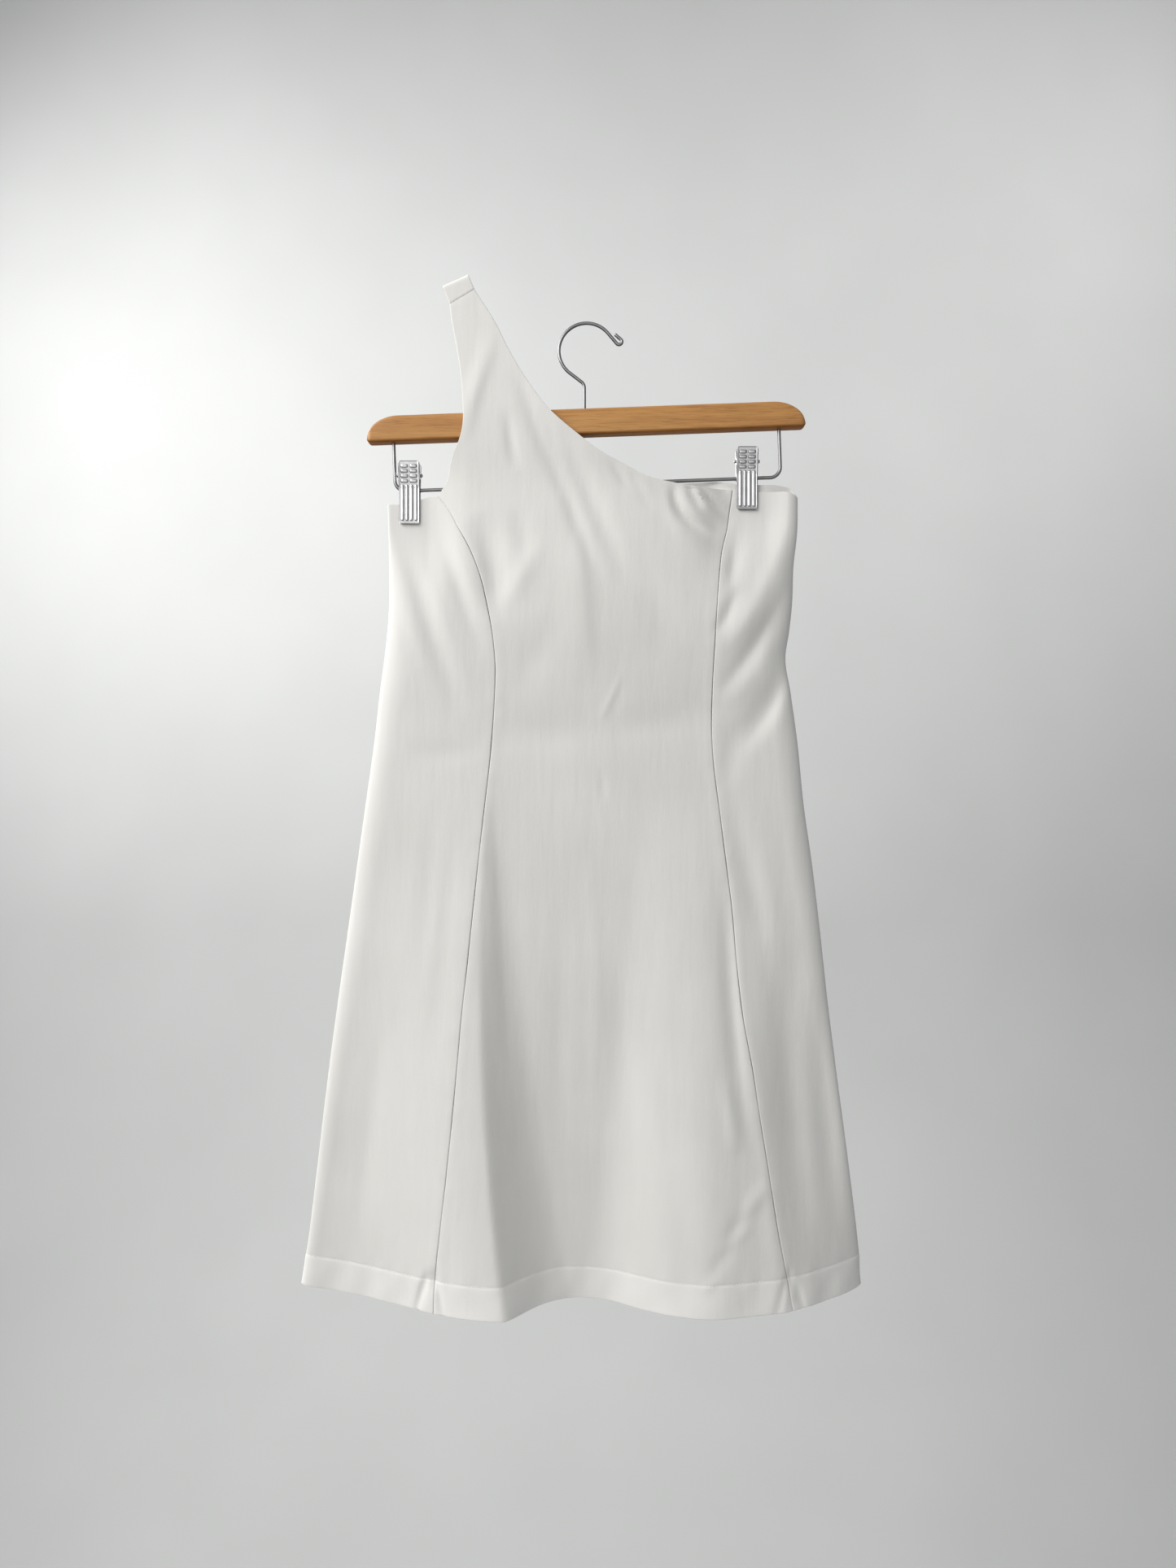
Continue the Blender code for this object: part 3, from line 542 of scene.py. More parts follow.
def vertex_tone(add):
    """The tone that new_piece gives each vertex."""
    return add("Attribute", "Fac", attribute_name="tone")


def white_knit():
    """White stretch knit: a matte white, lighter where the cloth is doubled, with streaks and loops."""
    finish, add, shade = new_finish("white_knit")
    broad = noise(add, (11.0, 11.0, 11.0), 3.0)
    single = ramp(add, broad, (0.30, 0.785, 0.774, 0.748), (0.70, 0.83, 0.82, 0.796))
    doubled = ramp(add, broad, (0.30, 0.86, 0.85, 0.825), (0.70, 0.90, 0.89, 0.865))
    streaks = noise(add, (75.0, 40.0, 13.0), 4.0, turn=0.12)
    loops = noise(add, (1300.0, 900.0, 1.0), 2.0, place=add("UVMap", "UV", uv_map="cut"))
    shade(
        Base_Color=add("MixRGB", "Color", Fac=vertex_tone(add), Color1=single, Color2=doubled),
        Normal=bumpy(add, loops, 0.16, 0.0003, Normal=bumpy(add, streaks, 0.35, 0.0016)),
        Roughness=0.82, Sheen_Weight=0.12, Sheen_Roughness=0.45, Specular_IOR_Level=0.25,
    )
    return finish


KNIT = white_knit()


def seam_line(column, z):
    """Half of the gap at a princess seam, which opens and closes slowly; the left seam's gap is tight near
    the top.
    """
    tight = np.clip((-150.0 - z) / 35.0, 0.15, 1.0) if column == 1 else 1.0
    return SEAM_LINE * tight * (0.72 + 0.28 * np.sin(z / 31.0 + 3.0 * column) * np.sin(z / 13.0))


def princess(column, side):
    """One side, -1 or 1, of a princess seam as a function of the height."""
    return lambda z: table_curve(PRINCESS, column, z) + side * seam_line(column, z)


def with_yoke(edges, armhole, neckline, across, rows, depth, side):
    """A layer's grid from the hem over the body and its yoke, which meet on a straight line.

    Gives the places, the outer points and normals, each row's length up to a point, the distance
    from the row's nearer end, and which rows lie in the yoke.
    """
    up = spread(HEM_STEPS, np.array((0.0,)), rows[0])
    ends = np.array((armhole[0], neckline[0])).T
    body = body_grid(*edges, lambda x: np.interp(x, *ends), across, up)
    yoke = yoke_grid(armhole, neckline, across, rows[1])
    x, z = (np.concatenate(pair) for pair in zip(body, yoke))
    points, normals = field(x, z, depth, side)
    from_left = lengths(points, 1)
    free = np.minimum(from_left, from_left[:, -1:] - from_left)
    return x, z, points, normals, from_left, free, np.arange(len(x))[:, None] >= len(body[0])


across = spread(EDGE_STEPS, EDGE_STEPS, 92)
lean = STRAP_LEAN[::2] * SHOULDER_LINE
armhole = np.vstack((ARMHOLE[:-1], ARMHOLE[-1] - lean))
neckline = np.vstack((NECKLINE[:-1], NECKLINE[-1] - lean))
edges = (princess(1, 1), princess(2, -1))
x, z, points, normals, _, free, in_yoke = with_yoke(
    edges, armhole, neckline, across, (205, 66), front_depth, -1,
)
width = edges[1](z) - edges[0](z)
beside = across[0] + across[1] * width
beside = np.minimum(beside, width - beside)
relief = np.where(in_yoke, edge_relief(free), seam_relief(beside, z))
relief += hem_relief(x, z)
relief[-1] -= SHOULDER_DIP
inner = inside_face(points, normals, -1)
centre = cloth_piece("centre_front_cloth", "front_centre", points, normals, inner, relief)


# Side fronts. The two narrower pieces of the same knit beside the princess seams. A clip holds the
# top corner of each one against the back, and soft creases run down from it.

LEFT_TOP = np.array((
    (-163.5, -146.5), (-154.0, -146.2), (-135.0, -142.4), (-129.0, -140.2), (-122.0, -139.8),
))
RIGHT_TOP = np.array((
    (117.8, -135.0), (139.0, -136.4), (160.0, -136.6), (165.5, -138.0), (170.8, -141.5),
))


def side_front(name, node, left_edge, right_edge, top, seam_on_right, columns):
    """A side front: the princess seam on one edge, the side seam on the other, a free edge on top."""
    up = spread(HEM_STEPS, EDGE_STEPS[:6], 195)
    across = spread(EDGE_STEPS, EDGE_STEPS, columns)
    x, z = body_grid(left_edge, right_edge, lambda x: np.interp(x, *top.T), across, up)
    points, normals = field(x, z, front_depth, -1)
    seam = right_edge(z) - x if seam_on_right else x - left_edge(z)
    relief = seam_relief(seam, z) + hem_relief(x, z) + edge_relief(np.interp(x, *top.T) - z)
    piece = cloth_piece(name, node, points, normals, inside_face(points, normals, -1), relief)


side_front("left_front_cloth", "front_side_left", side_seam(1), princess(1, -1),
           LEFT_TOP, True, 56)
side_front("right_front_cloth", "front_side_right", princess(2, 1), side_seam(2),
           RIGHT_TOP, False, 48)


# Back. One piece of the knit from the hem to the top edge, with its own strap, which turns over the
# top and comes down to the shoulder seam on the front.

BACK_ARMHOLE = np.vstack((
    (-163.5, -146.5), (-154.0, -146.2), (-135.0, -142.4), ARMHOLE[[0, 2, 4, 6, 7, 8, 9, 11]], (-117.0, 27.6),
))
BACK_NECKLINE = np.vstack((
    (170.8, -140.5), (166.5, -133.2), (157.0, -130.8), (138.0, -130.4), (120.5, -129.6),
    (104.7, -127.6), (71.6, -127.2), (47.0, -124.0), NECKLINE[5:], (-96.1, 36.9),
))
BACK_DRAPE = (
    (-150, -120, 0, -420, 4, 60, 60, 0, 2),
    (-20, -10, 0, -380, 5, 70, 70, 0, 2),
    (120, 95, 0, -420, 4.5, 60, 65, 0, 2),
)
BACK_CREASES = (
    (-140, -165, -105, -215, -60, -262, -3.6, 8),
    (125, -155, 98, -205, 58, -250, -3.8, 7, 9),
    (160, -186, 136, -244, 94, -288, -3.2, 9),
    (-158, -196, -140, -250, -102, -294, -2.8, 8),
    (-128, -330, -84, -343, -28, -337, -2.2, 8),
    (-24, -331, 14, -325, 50, -330, -0.9, 9),
    (34, -345, 80, -351, 124, -338, -2, 7),
    (-128, -158, -112, -190, -86, -222, 2, 7),
    (112, -150, 92, -180, 66, -206, 1.9, 6.5),
    (-62, -70, -40, -118, -18, -172, -2.4, 8),
    (-84, -62, -74, -112, -68, -160, -1.9, 7),
    (30, -130, 42, -150, 58, -168, -1.3, 4),
    (84, -140, 76, -158, 62, -172, -1.5, 4),
    (-24, -238, -6, -276, 20, -304, 0.8, 5),
    (-92, -356, -40, -350, 24, -355, 0.9, 7),
    (-150, -300, -128, -322, -96, -330, -2.2, 7),
    (150, -296, 132, -318, 100, -328, -2.4, 7),
    (-96, -366, -104, -430, -110, -500, -1.6, 8),
    (88, -372, 98, -440, 106, -520, -1.8, 9),
    (-60, -420, -66, -540, -76, -700, -2.6, 10, 14),
    (52, -430, 60, -560, 72, -720, -2.8, 14, 9),
    (-150, -470, -166, -590, -182, -720, -2.1, 11),
    (150, -480, 164, -600, 178, -735, -2.3, 11),
    (18, -372, 22, -430, 20, -490, -1.1, 7),
    (8, -560, 10, -650, 16, -752, -1.6, 9),
    (-122, -560, -130, -660, -136, -756, 1.2, 8),
)


def back_depth(x, z):
    return layer_depth(x, z, 2, BACK_DRAPE, BACK_CREASES)


def make_back():
    """The back as one grid: the body, the yoke, a half turn over the top, and a drop to the seam.

    In the half turn a point goes round the strap's fold on a half circle whose radius is the depth
    that it has behind the fold.
    """
    across = spread(EDGE_STEPS, EDGE_STEPS, 108)
    edges = (side_seam(1), side_seam(2))
    x, z, points, normals, from_left, free, in_yoke = with_yoke(
        edges, BACK_ARMHOLE, BACK_NECKLINE, across, (190, 74), back_depth, 1,
    )
    relief = np.where(in_yoke, edge_relief(free), 0.0)
    relief += hem_relief(x, z)
    base = points[-1]
    angle = np.linspace(0.0, math.pi, 19)[1:, None, None]
    outward = STRAP_LEAN * np.sin(angle) + np.array((0.0, 1.0, 0.0)) * np.cos(angle)
    turn = base * (1.0, 0.0, 1.0) + outward * base[:, 1:2]
    share = np.clip((across[0] + across[1] * from_left[-1, -1]) / from_left[-1, -1], 0, 1)[:, None]
    seam = ARMHOLE[-1] * (1 - share) + NECKLINE[-1] * share + STRAP_LEAN[::2] * SHOULDER_LINE
    drop = np.column_stack((seam[:, 0], -front_depth(*seam.T), seam[:, 1]))
    down = np.array((0.25, 0.5, 0.75, 0.88, 0.94, 1.0))[:, None, None]
    drops = turn[-1] * (1 - down) + drop * down
    points = np.concatenate((points, turn, drops))
    forward = np.broadcast_to(np.array((0.0, -1.0, 0.0)), drops.shape)
    normals = np.concatenate((normals, np.broadcast_to(outward, turn.shape), forward))
    edge = np.broadcast_to(edge_relief(free[-1]), turn.shape[:2])
    to_seam = (1 - down[..., 0]) * np.linalg.norm(drop[0] - turn[-1, 0])
    seam_dip = -0.25 * np.clip(1 - to_seam / 0.9, 0, 1) ** 2
    relief = np.concatenate((relief, edge, edge[:6] + seam_dip))
    inner = points - normals * CLOTH
    rows = len(x)
    inner[:rows] = inside_face(points[:rows], normals[:rows], 1)
    return cloth_piece("back_cloth", "back", points, normals, inner, relief)


back = make_back()


# Hem stitches. White thread in a straight machine stitch holds the turned-up hem, one line all round,
# 25 mm above the edge. Each stitch is a short bead of thread that lies in the groove.

STITCH_PITCH = 2.7
STITCH_LONG = 1.8
STITCH_WIDE = 0.46
STITCH_SINK = 0.05


def thread_finish():
    """Polyester thread: a clean white with a soft gloss and fine twist lines."""
    finish, add, shade = new_finish("white_thread")
    twist = noise(add, (2600.0, 2600.0, 2600.0), 2.0)
    white = ramp(add, twist, (0.3, 0.80, 0.80, 0.79), (0.7, 0.90, 0.90, 0.89))
    shade(Base_Color=white, Normal=bumpy(add, twist, 0.3, 0.0001), Roughness=0.5)
    return finish


def stitch_line(depth, side):
    """Beads along the hem: ellipsoids of six by five points, set at equal lengths along the groove."""
    x = np.linspace(SIDES[-1, 1] + 9.0, SIDES[-1, 2] - 9.0, 3000)
    z = hem_height(x) + HEM_BAND
    x = np.clip(x, table_curve(SIDES, 1, z) + 4.0, table_curve(SIDES, 2, z) - 4.0)
    points, normals = field(x, z, depth, side)
    length = lengths(points)
    at = np.arange(1.0, length[-1] - 1.0, STITCH_PITCH)
    place, out = (
        np.stack([np.interp(at, length, column) for column in table.T], axis=1)
        for table in (points, normals)
    )
    ahead = unit(np.gradient(place, axis=0))
    turn = np.linspace(0.0, 2 * math.pi, 7)[:-1]
    tilt = np.linspace(0.0, math.pi, 5)[:, None]
    ring = np.sin(tilt) * STITCH_WIDE / 2
    bead = np.stack((
        np.cos(tilt) * STITCH_LONG / 2 + 0 * turn, ring * np.cos(turn), ring * np.sin(turn),
    ), axis=-1).reshape(-1, 3)
    sunk = place - out * STITCH_SINK
    vertices = sunk[:, None] + bead @ np.stack((ahead, out, np.cross(out, ahead)), axis=1)
    faces = grid_faces(5, 6, wrap=True) + len(bead) * np.arange(len(at))[:, None, None]
    return vertices.reshape(-1, 3), faces.reshape(-1, 4)


beads = joined(stitch_line(front_depth, -1), stitch_line(back_depth, 1))
new_piece("hem_stitches", None, *beads, thread_finish(), "white_cloth", merge=0.001)


# Seam allowances. Inside the dress each princess seam is pressed open: a strip of cloth lies flat
# against the inner face on both sides of the line, from the hem band up to the top edge.

ALLOWANCE = 9.0    # width


def allowance(column, side, top):
    """One strip of doubled cloth: a thin shell 0.1 mm inside the front's inner face."""
    away = side * np.linspace(0.4, ALLOWANCE, 6)
    z = np.linspace(HEM_Z + HEM_BAND + 1.0, top, 150)[:, None] + np.zeros(6)
    x = table_curve(PRINCESS, column, z) + away
    points, normals = field(x, z, front_depth, -1)
    deep = CLOTH + 0.75 - 0.35 * (np.abs(away) / ALLOWANCE) ** 2
    return shell(points - normals * (CLOTH + 0.08), points - normals * deep[:, None])


sides = [(column, side, top) for column, top in ((1, -147.0), (2, -142.0)) for side in (-1, 1)]
vertices, faces = joined(*(allowance(*side) for side in sides))
strips = new_piece("seam_allowances", None, vertices, faces, KNIT, "white_cloth", uv=vertices[:, ::2])


# Hanger bar. A flat bar of honey-coloured wood with rounded long edges; its upper ends fall in quarter
# ellipses. It is sanded and lacquered, and the grain runs along it.

BAR_CENTRE = (-1.8, -80.1)     # x and height of its middle
BAR_TILT = math.radians(2.1)
BAR_HALF = 178.0               # half of its length
BAR_TOP = 10.5                 # half of its height
BAR_DEPTH = 7.0                # half of its thickness
BAR_ROUND = 2.6                # radius of its long edges
BAR_END_LONG = 26.0            # length and height of the quarter ellipse at each end
BAR_END_TALL = 18.5
BAR_END_LOW = 3.0              # length of the small curve below it
BAR_END_ROUND = 4.0            # length over which the thickness rounds off


def tilted(points):
    """Points of the hanger's own frame, turned by the bar's tilt and moved to the bar's middle."""
    x, y, z = np.moveaxis(np.asarray(points, float), -1, 0)
    c = math.cos(BAR_TILT)
    s = math.sin(BAR_TILT)
    return np.stack((x * c - z * s + BAR_CENTRE[0], y, x * s + z * c + BAR_CENTRE[1]), axis=-1)


def bar_surface():
    """Rounded rectangles along the bar, whose height follows the two ends' curves.

    Each section's four corners are quarter circles. The sections shrink to a short line at the two
    ends, where their depth is rounded as well.
    """
    t = np.linspace(-1.0, 1.0, 181)
    x = BAR_HALF * np.sin(0.5 * math.pi * t) * (1 - 0.35 * np.cos(0.5 * math.pi * t) ** 2)
    x[[0, -1]] = (-BAR_HALF, BAR_HALF)
    into_end, low_end, last = (
        np.clip((np.abs(x) - BAR_HALF + reach) / reach, 0.0, 1.0)
        for reach in (BAR_END_LONG, BAR_END_LOW, BAR_END_ROUND)
    )
    high = BAR_TOP - BAR_END_TALL * (1 - np.sqrt(1 - into_end ** 2))
    low = -BAR_TOP + (2 * BAR_TOP - BAR_END_TALL) * (1 - np.sqrt(1 - low_end ** 2))
    half = (high - low) / 2
    deep = BAR_DEPTH - BAR_ROUND * (1 - np.sqrt(1 - last ** 2))
    radius = np.minimum(BAR_ROUND, half)
    corner = np.linspace(0.0, 0.5 * math.pi, 7)
    quarters = []
    # from the middle of the top edge round the front, the underside and the back
    for sy, sz, order in ((-1, 1, -1), (-1, -1, 1), (1, -1, -1), (1, 1, 1)):
        angle = corner[::order]
        y = sy * ((deep - radius)[:, None] + radius[:, None] * np.cos(angle))
        z = sz * ((half - radius)[:, None] + radius[:, None] * np.sin(angle)) + ((high + low) / 2)[:, None]
        quarters.append(np.stack((np.broadcast_to(x[:, None], y.shape), y, z), axis=-1))
    return tilted(np.concatenate(quarters, axis=1))


def multiplied(add, first, second, share=1.0):
    """One colour multiplied by another, to a share."""
    return add("MixRGB", "Color", blend_type="MULTIPLY", Fac=share, Color1=first, Color2=second)


def between(add, share, low, high):
    """A value that goes from low to high as a share goes from 0 to 1."""
    return add("MapRange", "Result", **{"Value": share, "To Min": low, "To Max": high})


def honey_wood():
    """Lacquered wood: long bands of browns, fine dark pores, a clear coat, and a matte underside whose
    colour is darkened as painted shade.
    """
    finish, add, shade = new_finish("honey_wood")
    bands = noise(add, (5.0, 70.0, 95.0), 6.0, turn=BAR_TILT + 0.012, Roughness=0.62, Distortion=0.5)
    pores = noise(add, (42.0, 1100.0, 1300.0), 3.0, turn=BAR_TILT - 0.01, Roughness=0.7)
    below = vertex_tone(add)
    brown = ramp(
        add, bands,
        (0.26, 0.36, 0.152, 0.040), (0.44, 0.50, 0.230, 0.063),
        (0.58, 0.58, 0.285, 0.083), (0.76, 0.68, 0.365, 0.124),
    )
    dark = ramp(add, pores, (0.34, 0.62, 0.55, 0.50), (0.50, 1.0, 1.0, 1.0))
    # Painted shade: the wood's colour darkens on the faces that turn down, by each vertex's tone.
    underside_shade = ramp(add, below, (0.0, 1.0, 1.0, 1.0), (1.0, 0.66, 0.52, 0.40))
    shade(
        Base_Color=multiplied(add, multiplied(add, brown, dark, 0.8), underside_shade),
        Normal=bumpy(add, pores, 0.25, 0.0002),
        Roughness=0.42, Coat_Roughness=0.25,
        Coat_Weight=between(add, below, 0.22, 0.0), Specular_IOR_Level=between(add, below, 0.5, 0.05),
    )
    return finish


surface = bar_surface()
# Painted shade on the bar's underside: each vertex's tone is how far its face turns down.
quarter = np.sin(np.linspace(0.0, 0.5 * math.pi, 7))
faces_down = np.concatenate((0 * quarter, quarter, quarter[::-1], 0 * quarter))
underside_shade = np.tile(np.clip(1.7 * faces_down - 0.5, 0, 1), len(surface))
faces = grid_faces(*surface.shape[:2], wrap=True)
new_piece(
    "wooden_bar", "hanger_bar", surface.reshape(-1, 3), faces, honey_wood(), "honey_wood",
    merge=0.01, tone=underside_shade,
)


# Rod. A straight run of polished steel wire below the bar, bent up at both ends into the bar's
# underside. The clips slide on it.

WIRE = 1.4     # radius


def arc(x, z, radius, start, end, steps):
    """Points on an arc in the middle plane, from a start to an end angle in degrees."""
    angles = np.radians(np.linspace(start, end, steps))
    return np.column_stack((x + radius * np.cos(angles), np.zeros(steps), z + radius * np.sin(angles)))


def tube(path, radius, sides, square):
    """A round wire: rings round a path, in the plane square to it, and quarter-circle ends.

    The first direction of a ring is the given one with its part along the path taken off.
    """
    path = np.asarray(path, float)
    ahead = unit(np.gradient(path, axis=0))
    first = unit(square - ahead * (ahead @ square)[:, None])
    second = np.cross(ahead, first)
    end = np.radians(np.array((90.0, 68.0, 45.0, 22.0)))
    tip = radius * np.sin(end)[:, None]
    centres = np.concatenate((path[0] - ahead[0] * tip, path, path[-1] + ahead[-1] * tip[::-1]))
    size = np.concatenate((np.cos(end), np.ones(len(path)), np.cos(end)[::-1])) * radius
    first, second = (np.pad(way, ((4, 4), (0, 0)), mode="edge") for way in (first, second))
    turn = np.linspace(0.0, 2 * math.pi, sides + 1)[:-1]
    ring = first[:, None] * np.cos(turn)[:, None] + second[:, None] * np.sin(turn)[:, None]
    points = centres[:, None] + ring * size[:, None, None]
    return points.reshape(-1, 3), grid_faces(len(centres), sides, wrap=True)


def wire(name, node, path, radius):
    """A round wire in the middle plane, its colour darkened along its two sides as painted shade, its front
    and back left bright.
    """
    vertices, faces = tube(path, radius, 16, (0.0, 1.0, 0.0))
    # Painted shade: the tone grows towards the wire's two sides.
    aside = np.sin(np.linspace(0.0, 2 * math.pi, 17)[:-1])
    tone = np.tile(0.95 * aside ** 2, len(vertices) // 16)
    new_piece(name, node, vertices, faces, STEEL, "steel_wire", merge=0.001, tone=tone)


def metal(name, dark, light, rough):
    """Polished metal: two greys that drift slowly, fine scratches, and a colour darkened by each vertex's
    tone, which is painted shade on the wires and grime with painted shade on the clips.
    """
    finish, add, shade = new_finish(name)
    cloud = noise(add, (140.0, 140.0, 140.0), 4.0)
    scratches = noise(add, (300.0, 2600.0, 900.0), 2.0)
    grey = ramp(add, cloud, (0.3, *dark), (0.7, *light))
    # Painted shade, with grime on the clips: the colour darkens as the vertex tone grows.
    grime_and_painted_shade = ramp(add, vertex_tone(add), (0.0, 1.0, 1.0, 1.0), (1.0, 0.06, 0.06, 0.062))
    shade(
        Base_Color=multiplied(add, grey, grime_and_painted_shade), Normal=bumpy(add, scratches, 0.1, 0.0001),
        Roughness=between(add, cloud, *rough), Metallic=1.0,
    )
    return finish


STEEL = metal("steel_wire", (0.35, 0.35, 0.355), (0.45, 0.45, 0.455), (0.28, 0.40))
rod_path = np.concatenate((
    ((-157.0, 0.0, -1.5), (-157.0, 0.0, -20.0)),
    arc(-148.4, -41.2, 8.6, 180, 270, 14),
    np.column_stack((np.linspace(-140.0, 140.0, 40), np.zeros(40), np.full(40, -49.8))),
    arc(148.4, -41.2, 8.6, 270, 360, 14),
    ((157.0, 0.0, -20.0), (157.0, 0.0, -1.5)),
))
wire("clip_rod", "rod", tilted(rod_path), WIRE)


# Hook. The same wire: a stem set in the bar, a small bend, a round arch, and the end folded back on
# itself so that it doesn't scratch.

HOOK_WIRE = 1.36   # radius
HOOK_ARCH = 22.6   # radius of the arch's middle line
hook_path = np.concatenate((
    ((-3.0, 0.0, -78.3), (-3.0, 0.0, -64.0), (-3.0, 0.0, -54.0), (-3.0, 0.0, -51.4)),
    ((-3.12, 0.0, -50.2), (-3.45, 0.0, -49.0), (-4.0, 0.0, -47.9), (-4.8, 0.0, -46.9)),
    ((-10.307, 0.0, -42.624),),
    arc(-1.1, HOOK_WIRE - HOOK_ARCH, HOOK_ARCH, 232, 38, 72),
    arc(25.2, -13.6, 2.4, 218, 400, 22)[1:],
    ((24.8, 0.0, -10.2), (22.6, 0.0, -8.2)),
))
wire("wire_hook", "hook", hook_path, HOOK_WIRE)


# Clips. Each is two pressed leaves of chromed steel on a pivot pin, with a wire spring round the pin.
# The press gives the leaves a rim, eight small ovals above and four long ribs below.

CLIP_WIDTH = 17.4
LEAF = 1.2                 # thickness of a leaf
LEAF_CORNER = 2.6          # radius of its upper corners
LEAF_LOW_CORNER = 2.8      # and of its lower ones
# Side view of a leaf: drop below its top, distance of its inner face from the middle plane
LEAF_SIDE = np.array(((0.0, 5.2), (5.0, 4.7), (11.0, 3.6), (21.5, 1.75), (51.0, 1.75)))
PIVOT_DROP = 11.0          # how far the pin lies below the leaf's top
PIN_HALF = CLIP_WIDTH / 2 + 2.0
EAR_THICK = 1.0
# The pressed pattern: places across the leaf and drops below its top
OVALS = [(middle, 4.4 + 3.9 * row) for row in range(4) for middle in (-3.75, 3.6)]
RIBS = (-5.5, -1.85, 1.85, 5.5)


def to_pattern(u, drop):
    """Scaled distances to the nearest oval and the nearest rib: one on the outline, less inside it."""
    oval = np.min([((u - x) / 2.7) ** 4 + ((drop - low) / 1.25) ** 4 for x, low in OVALS], axis=0) ** 0.25
    beyond = np.maximum(np.abs(drop - 33.6) - 13.4, 0.0)
    rib = np.min([np.hypot(u - x, beyond) for x in RIBS], axis=0) / 1.1
    return oval, rib


def pressing(u, drop):
    """Height of the pressed pattern at a place across the leaf and a drop below its top.

    Ovals are rounded bumps, ribs are long rounded bars, and the rim is a low ridge along the edge.
    """
    oval, rib = to_pattern(u, drop)
    edge = CLIP_WIDTH / 2 - np.abs(u)
    rim = 0.30 * np.exp(-((edge - 0.75) / 0.42) ** 2) * np.clip((50.0 - drop) / 3.0, 0, 1)
    bumps = 0.42 * np.clip(1 - oval ** 4, 0, 1) ** 0.6
    bars = 0.62 * np.sqrt(np.clip(1 - rib ** 2, 0, 1))
    return np.maximum(np.maximum(bumps, bars), rim)


def grime_and_outline_shade(u, drop):
    """How much grime and painted shade darken the colour round the pattern: a narrow bell at each outline
    and along the leaf's edge.
    """
    oval, rib = to_pattern(u, drop)
    edge = np.minimum(CLIP_WIDTH / 2 - np.abs(u), np.minimum(drop, CLIP_HEIGHT - drop))
    # Grime and painted shade: dark bells at the outlines of the ovals and ribs and along the edge.
    round_ovals = np.exp(-((oval - 1.04) / 0.12) ** 2)
    round_ribs = 0.9 * np.exp(-((rib - 1.05) / 0.22) ** 2)
    return np.maximum(np.maximum(round_ovals, round_ribs), 0.95 * np.clip(1.3 - edge / 0.75, 0, 1))


def leaf_shell(x, top, side):
    """A pressed leaf: its side view carried across the width, rounded corners, the pattern outside."""
    drop = np.concatenate((
        (0.0, 0.15, 0.4, 0.8), np.linspace(1.3, 49.0, 118), (49.6, 50.1, 50.5, 50.8, CLIP_HEIGHT),
    ))
    even = np.linspace(-1, 1, 47)
    t = np.sin(0.5 * math.pi * even) * 0.25 + even * 0.75
    corner = np.clip(LEAF_CORNER - drop, 0.0, LEAF_CORNER)
    low_corner = np.clip(drop - CLIP_HEIGHT + LEAF_LOW_CORNER, 0.0, LEAF_LOW_CORNER)
    half = CLIP_WIDTH / 2 - (LEAF_CORNER - np.sqrt(LEAF_CORNER ** 2 - corner ** 2))
    half -= LEAF_LOW_CORNER - np.sqrt(LEAF_LOW_CORNER ** 2 - low_corner ** 2)
    u = half[:, None] * t
    d = drop[:, None] + 0 * u
    inner = np.interp(drop, *LEAF_SIDE.T)
    kernel = np.array((1.0, 4.0, 7.0, 9.0, 7.0, 4.0, 1.0)) / 33.0
    inner = np.convolve(np.pad(inner, 3, mode="edge"), kernel, mode="valid")
    inner = np.maximum(inner, 1.75) + 0.10 * np.clip(drop - 48.0, 0, 3) ** 2
    edge = np.minimum(half[:, None] - np.abs(u), np.minimum(d, CLIP_HEIGHT - d))
    soft = np.clip(0.5 - edge, 0.0, 0.5)
    roll = 0.5 - np.sqrt(0.25 - soft ** 2)
    outer = inner[:, None] + LEAF + pressing(u, d) - roll - 0.25
    inner = inner[:, None] + 0 * u + 0.3 * roll
    places = [np.stack((x + u, side * away, top - d), axis=-1) for away in (outer, inner)]
    return *shell(*places), grime_and_outline_shade(u, d).ravel()


def plate(outline, low, high):
    """A small plate: an outline of (y, z) points carried along x, with its rim eased by 0.15 mm."""
    outline = np.asarray(outline, float)
    middle = outline.mean(axis=0)
    small = middle + (outline - middle) * (1 - 0.15 / np.abs(outline - middle).max())
    rings = ((low, middle + (outline - middle) * 1e-3), (low, small), (low + 0.15, outline),
             (high - 0.15, outline), (high, small), (high, middle + (outline - middle) * 1e-3))
    points = np.stack([np.column_stack((np.full(len(ring), x), ring)) for x, ring in rings])
    return points.reshape(-1, 3), grid_faces(len(rings), len(outline), wrap=True)


def ear(x, pivot_z, side):
    """The tab of a leaf that holds the pin: straight from the leaf, half round past the pin."""
    turn = np.radians(np.linspace(-90, 90, 13))
    tip = np.column_stack((-side * 1.9 * np.cos(turn), 2.7 * np.sin(turn) + pivot_z))
    root = ((side * 4.3, pivot_z + 4.0), (side * 4.7, pivot_z), (side * 3.9, pivot_z - 4.0))
    return plate(np.concatenate((tip, root)), x - EAR_THICK / 2, x + EAR_THICK / 2)


def clip_leaf(x, top, side, ear_x):
    """A leaf and its two ears in one mesh, with the grime and painted shade of the leaf's outer face."""
    pivot_z = top - PIVOT_DROP
    *leaf, grime_and_shade = leaf_shell(x, top, side)
    ears = (ear(x - ear_x, pivot_z, side), ear(x + ear_x, pivot_z, side))
    vertices, faces = joined(leaf, *ears)
    return vertices, faces, np.pad(grime_and_shade, (0, len(vertices) - len(grime_and_shade)))


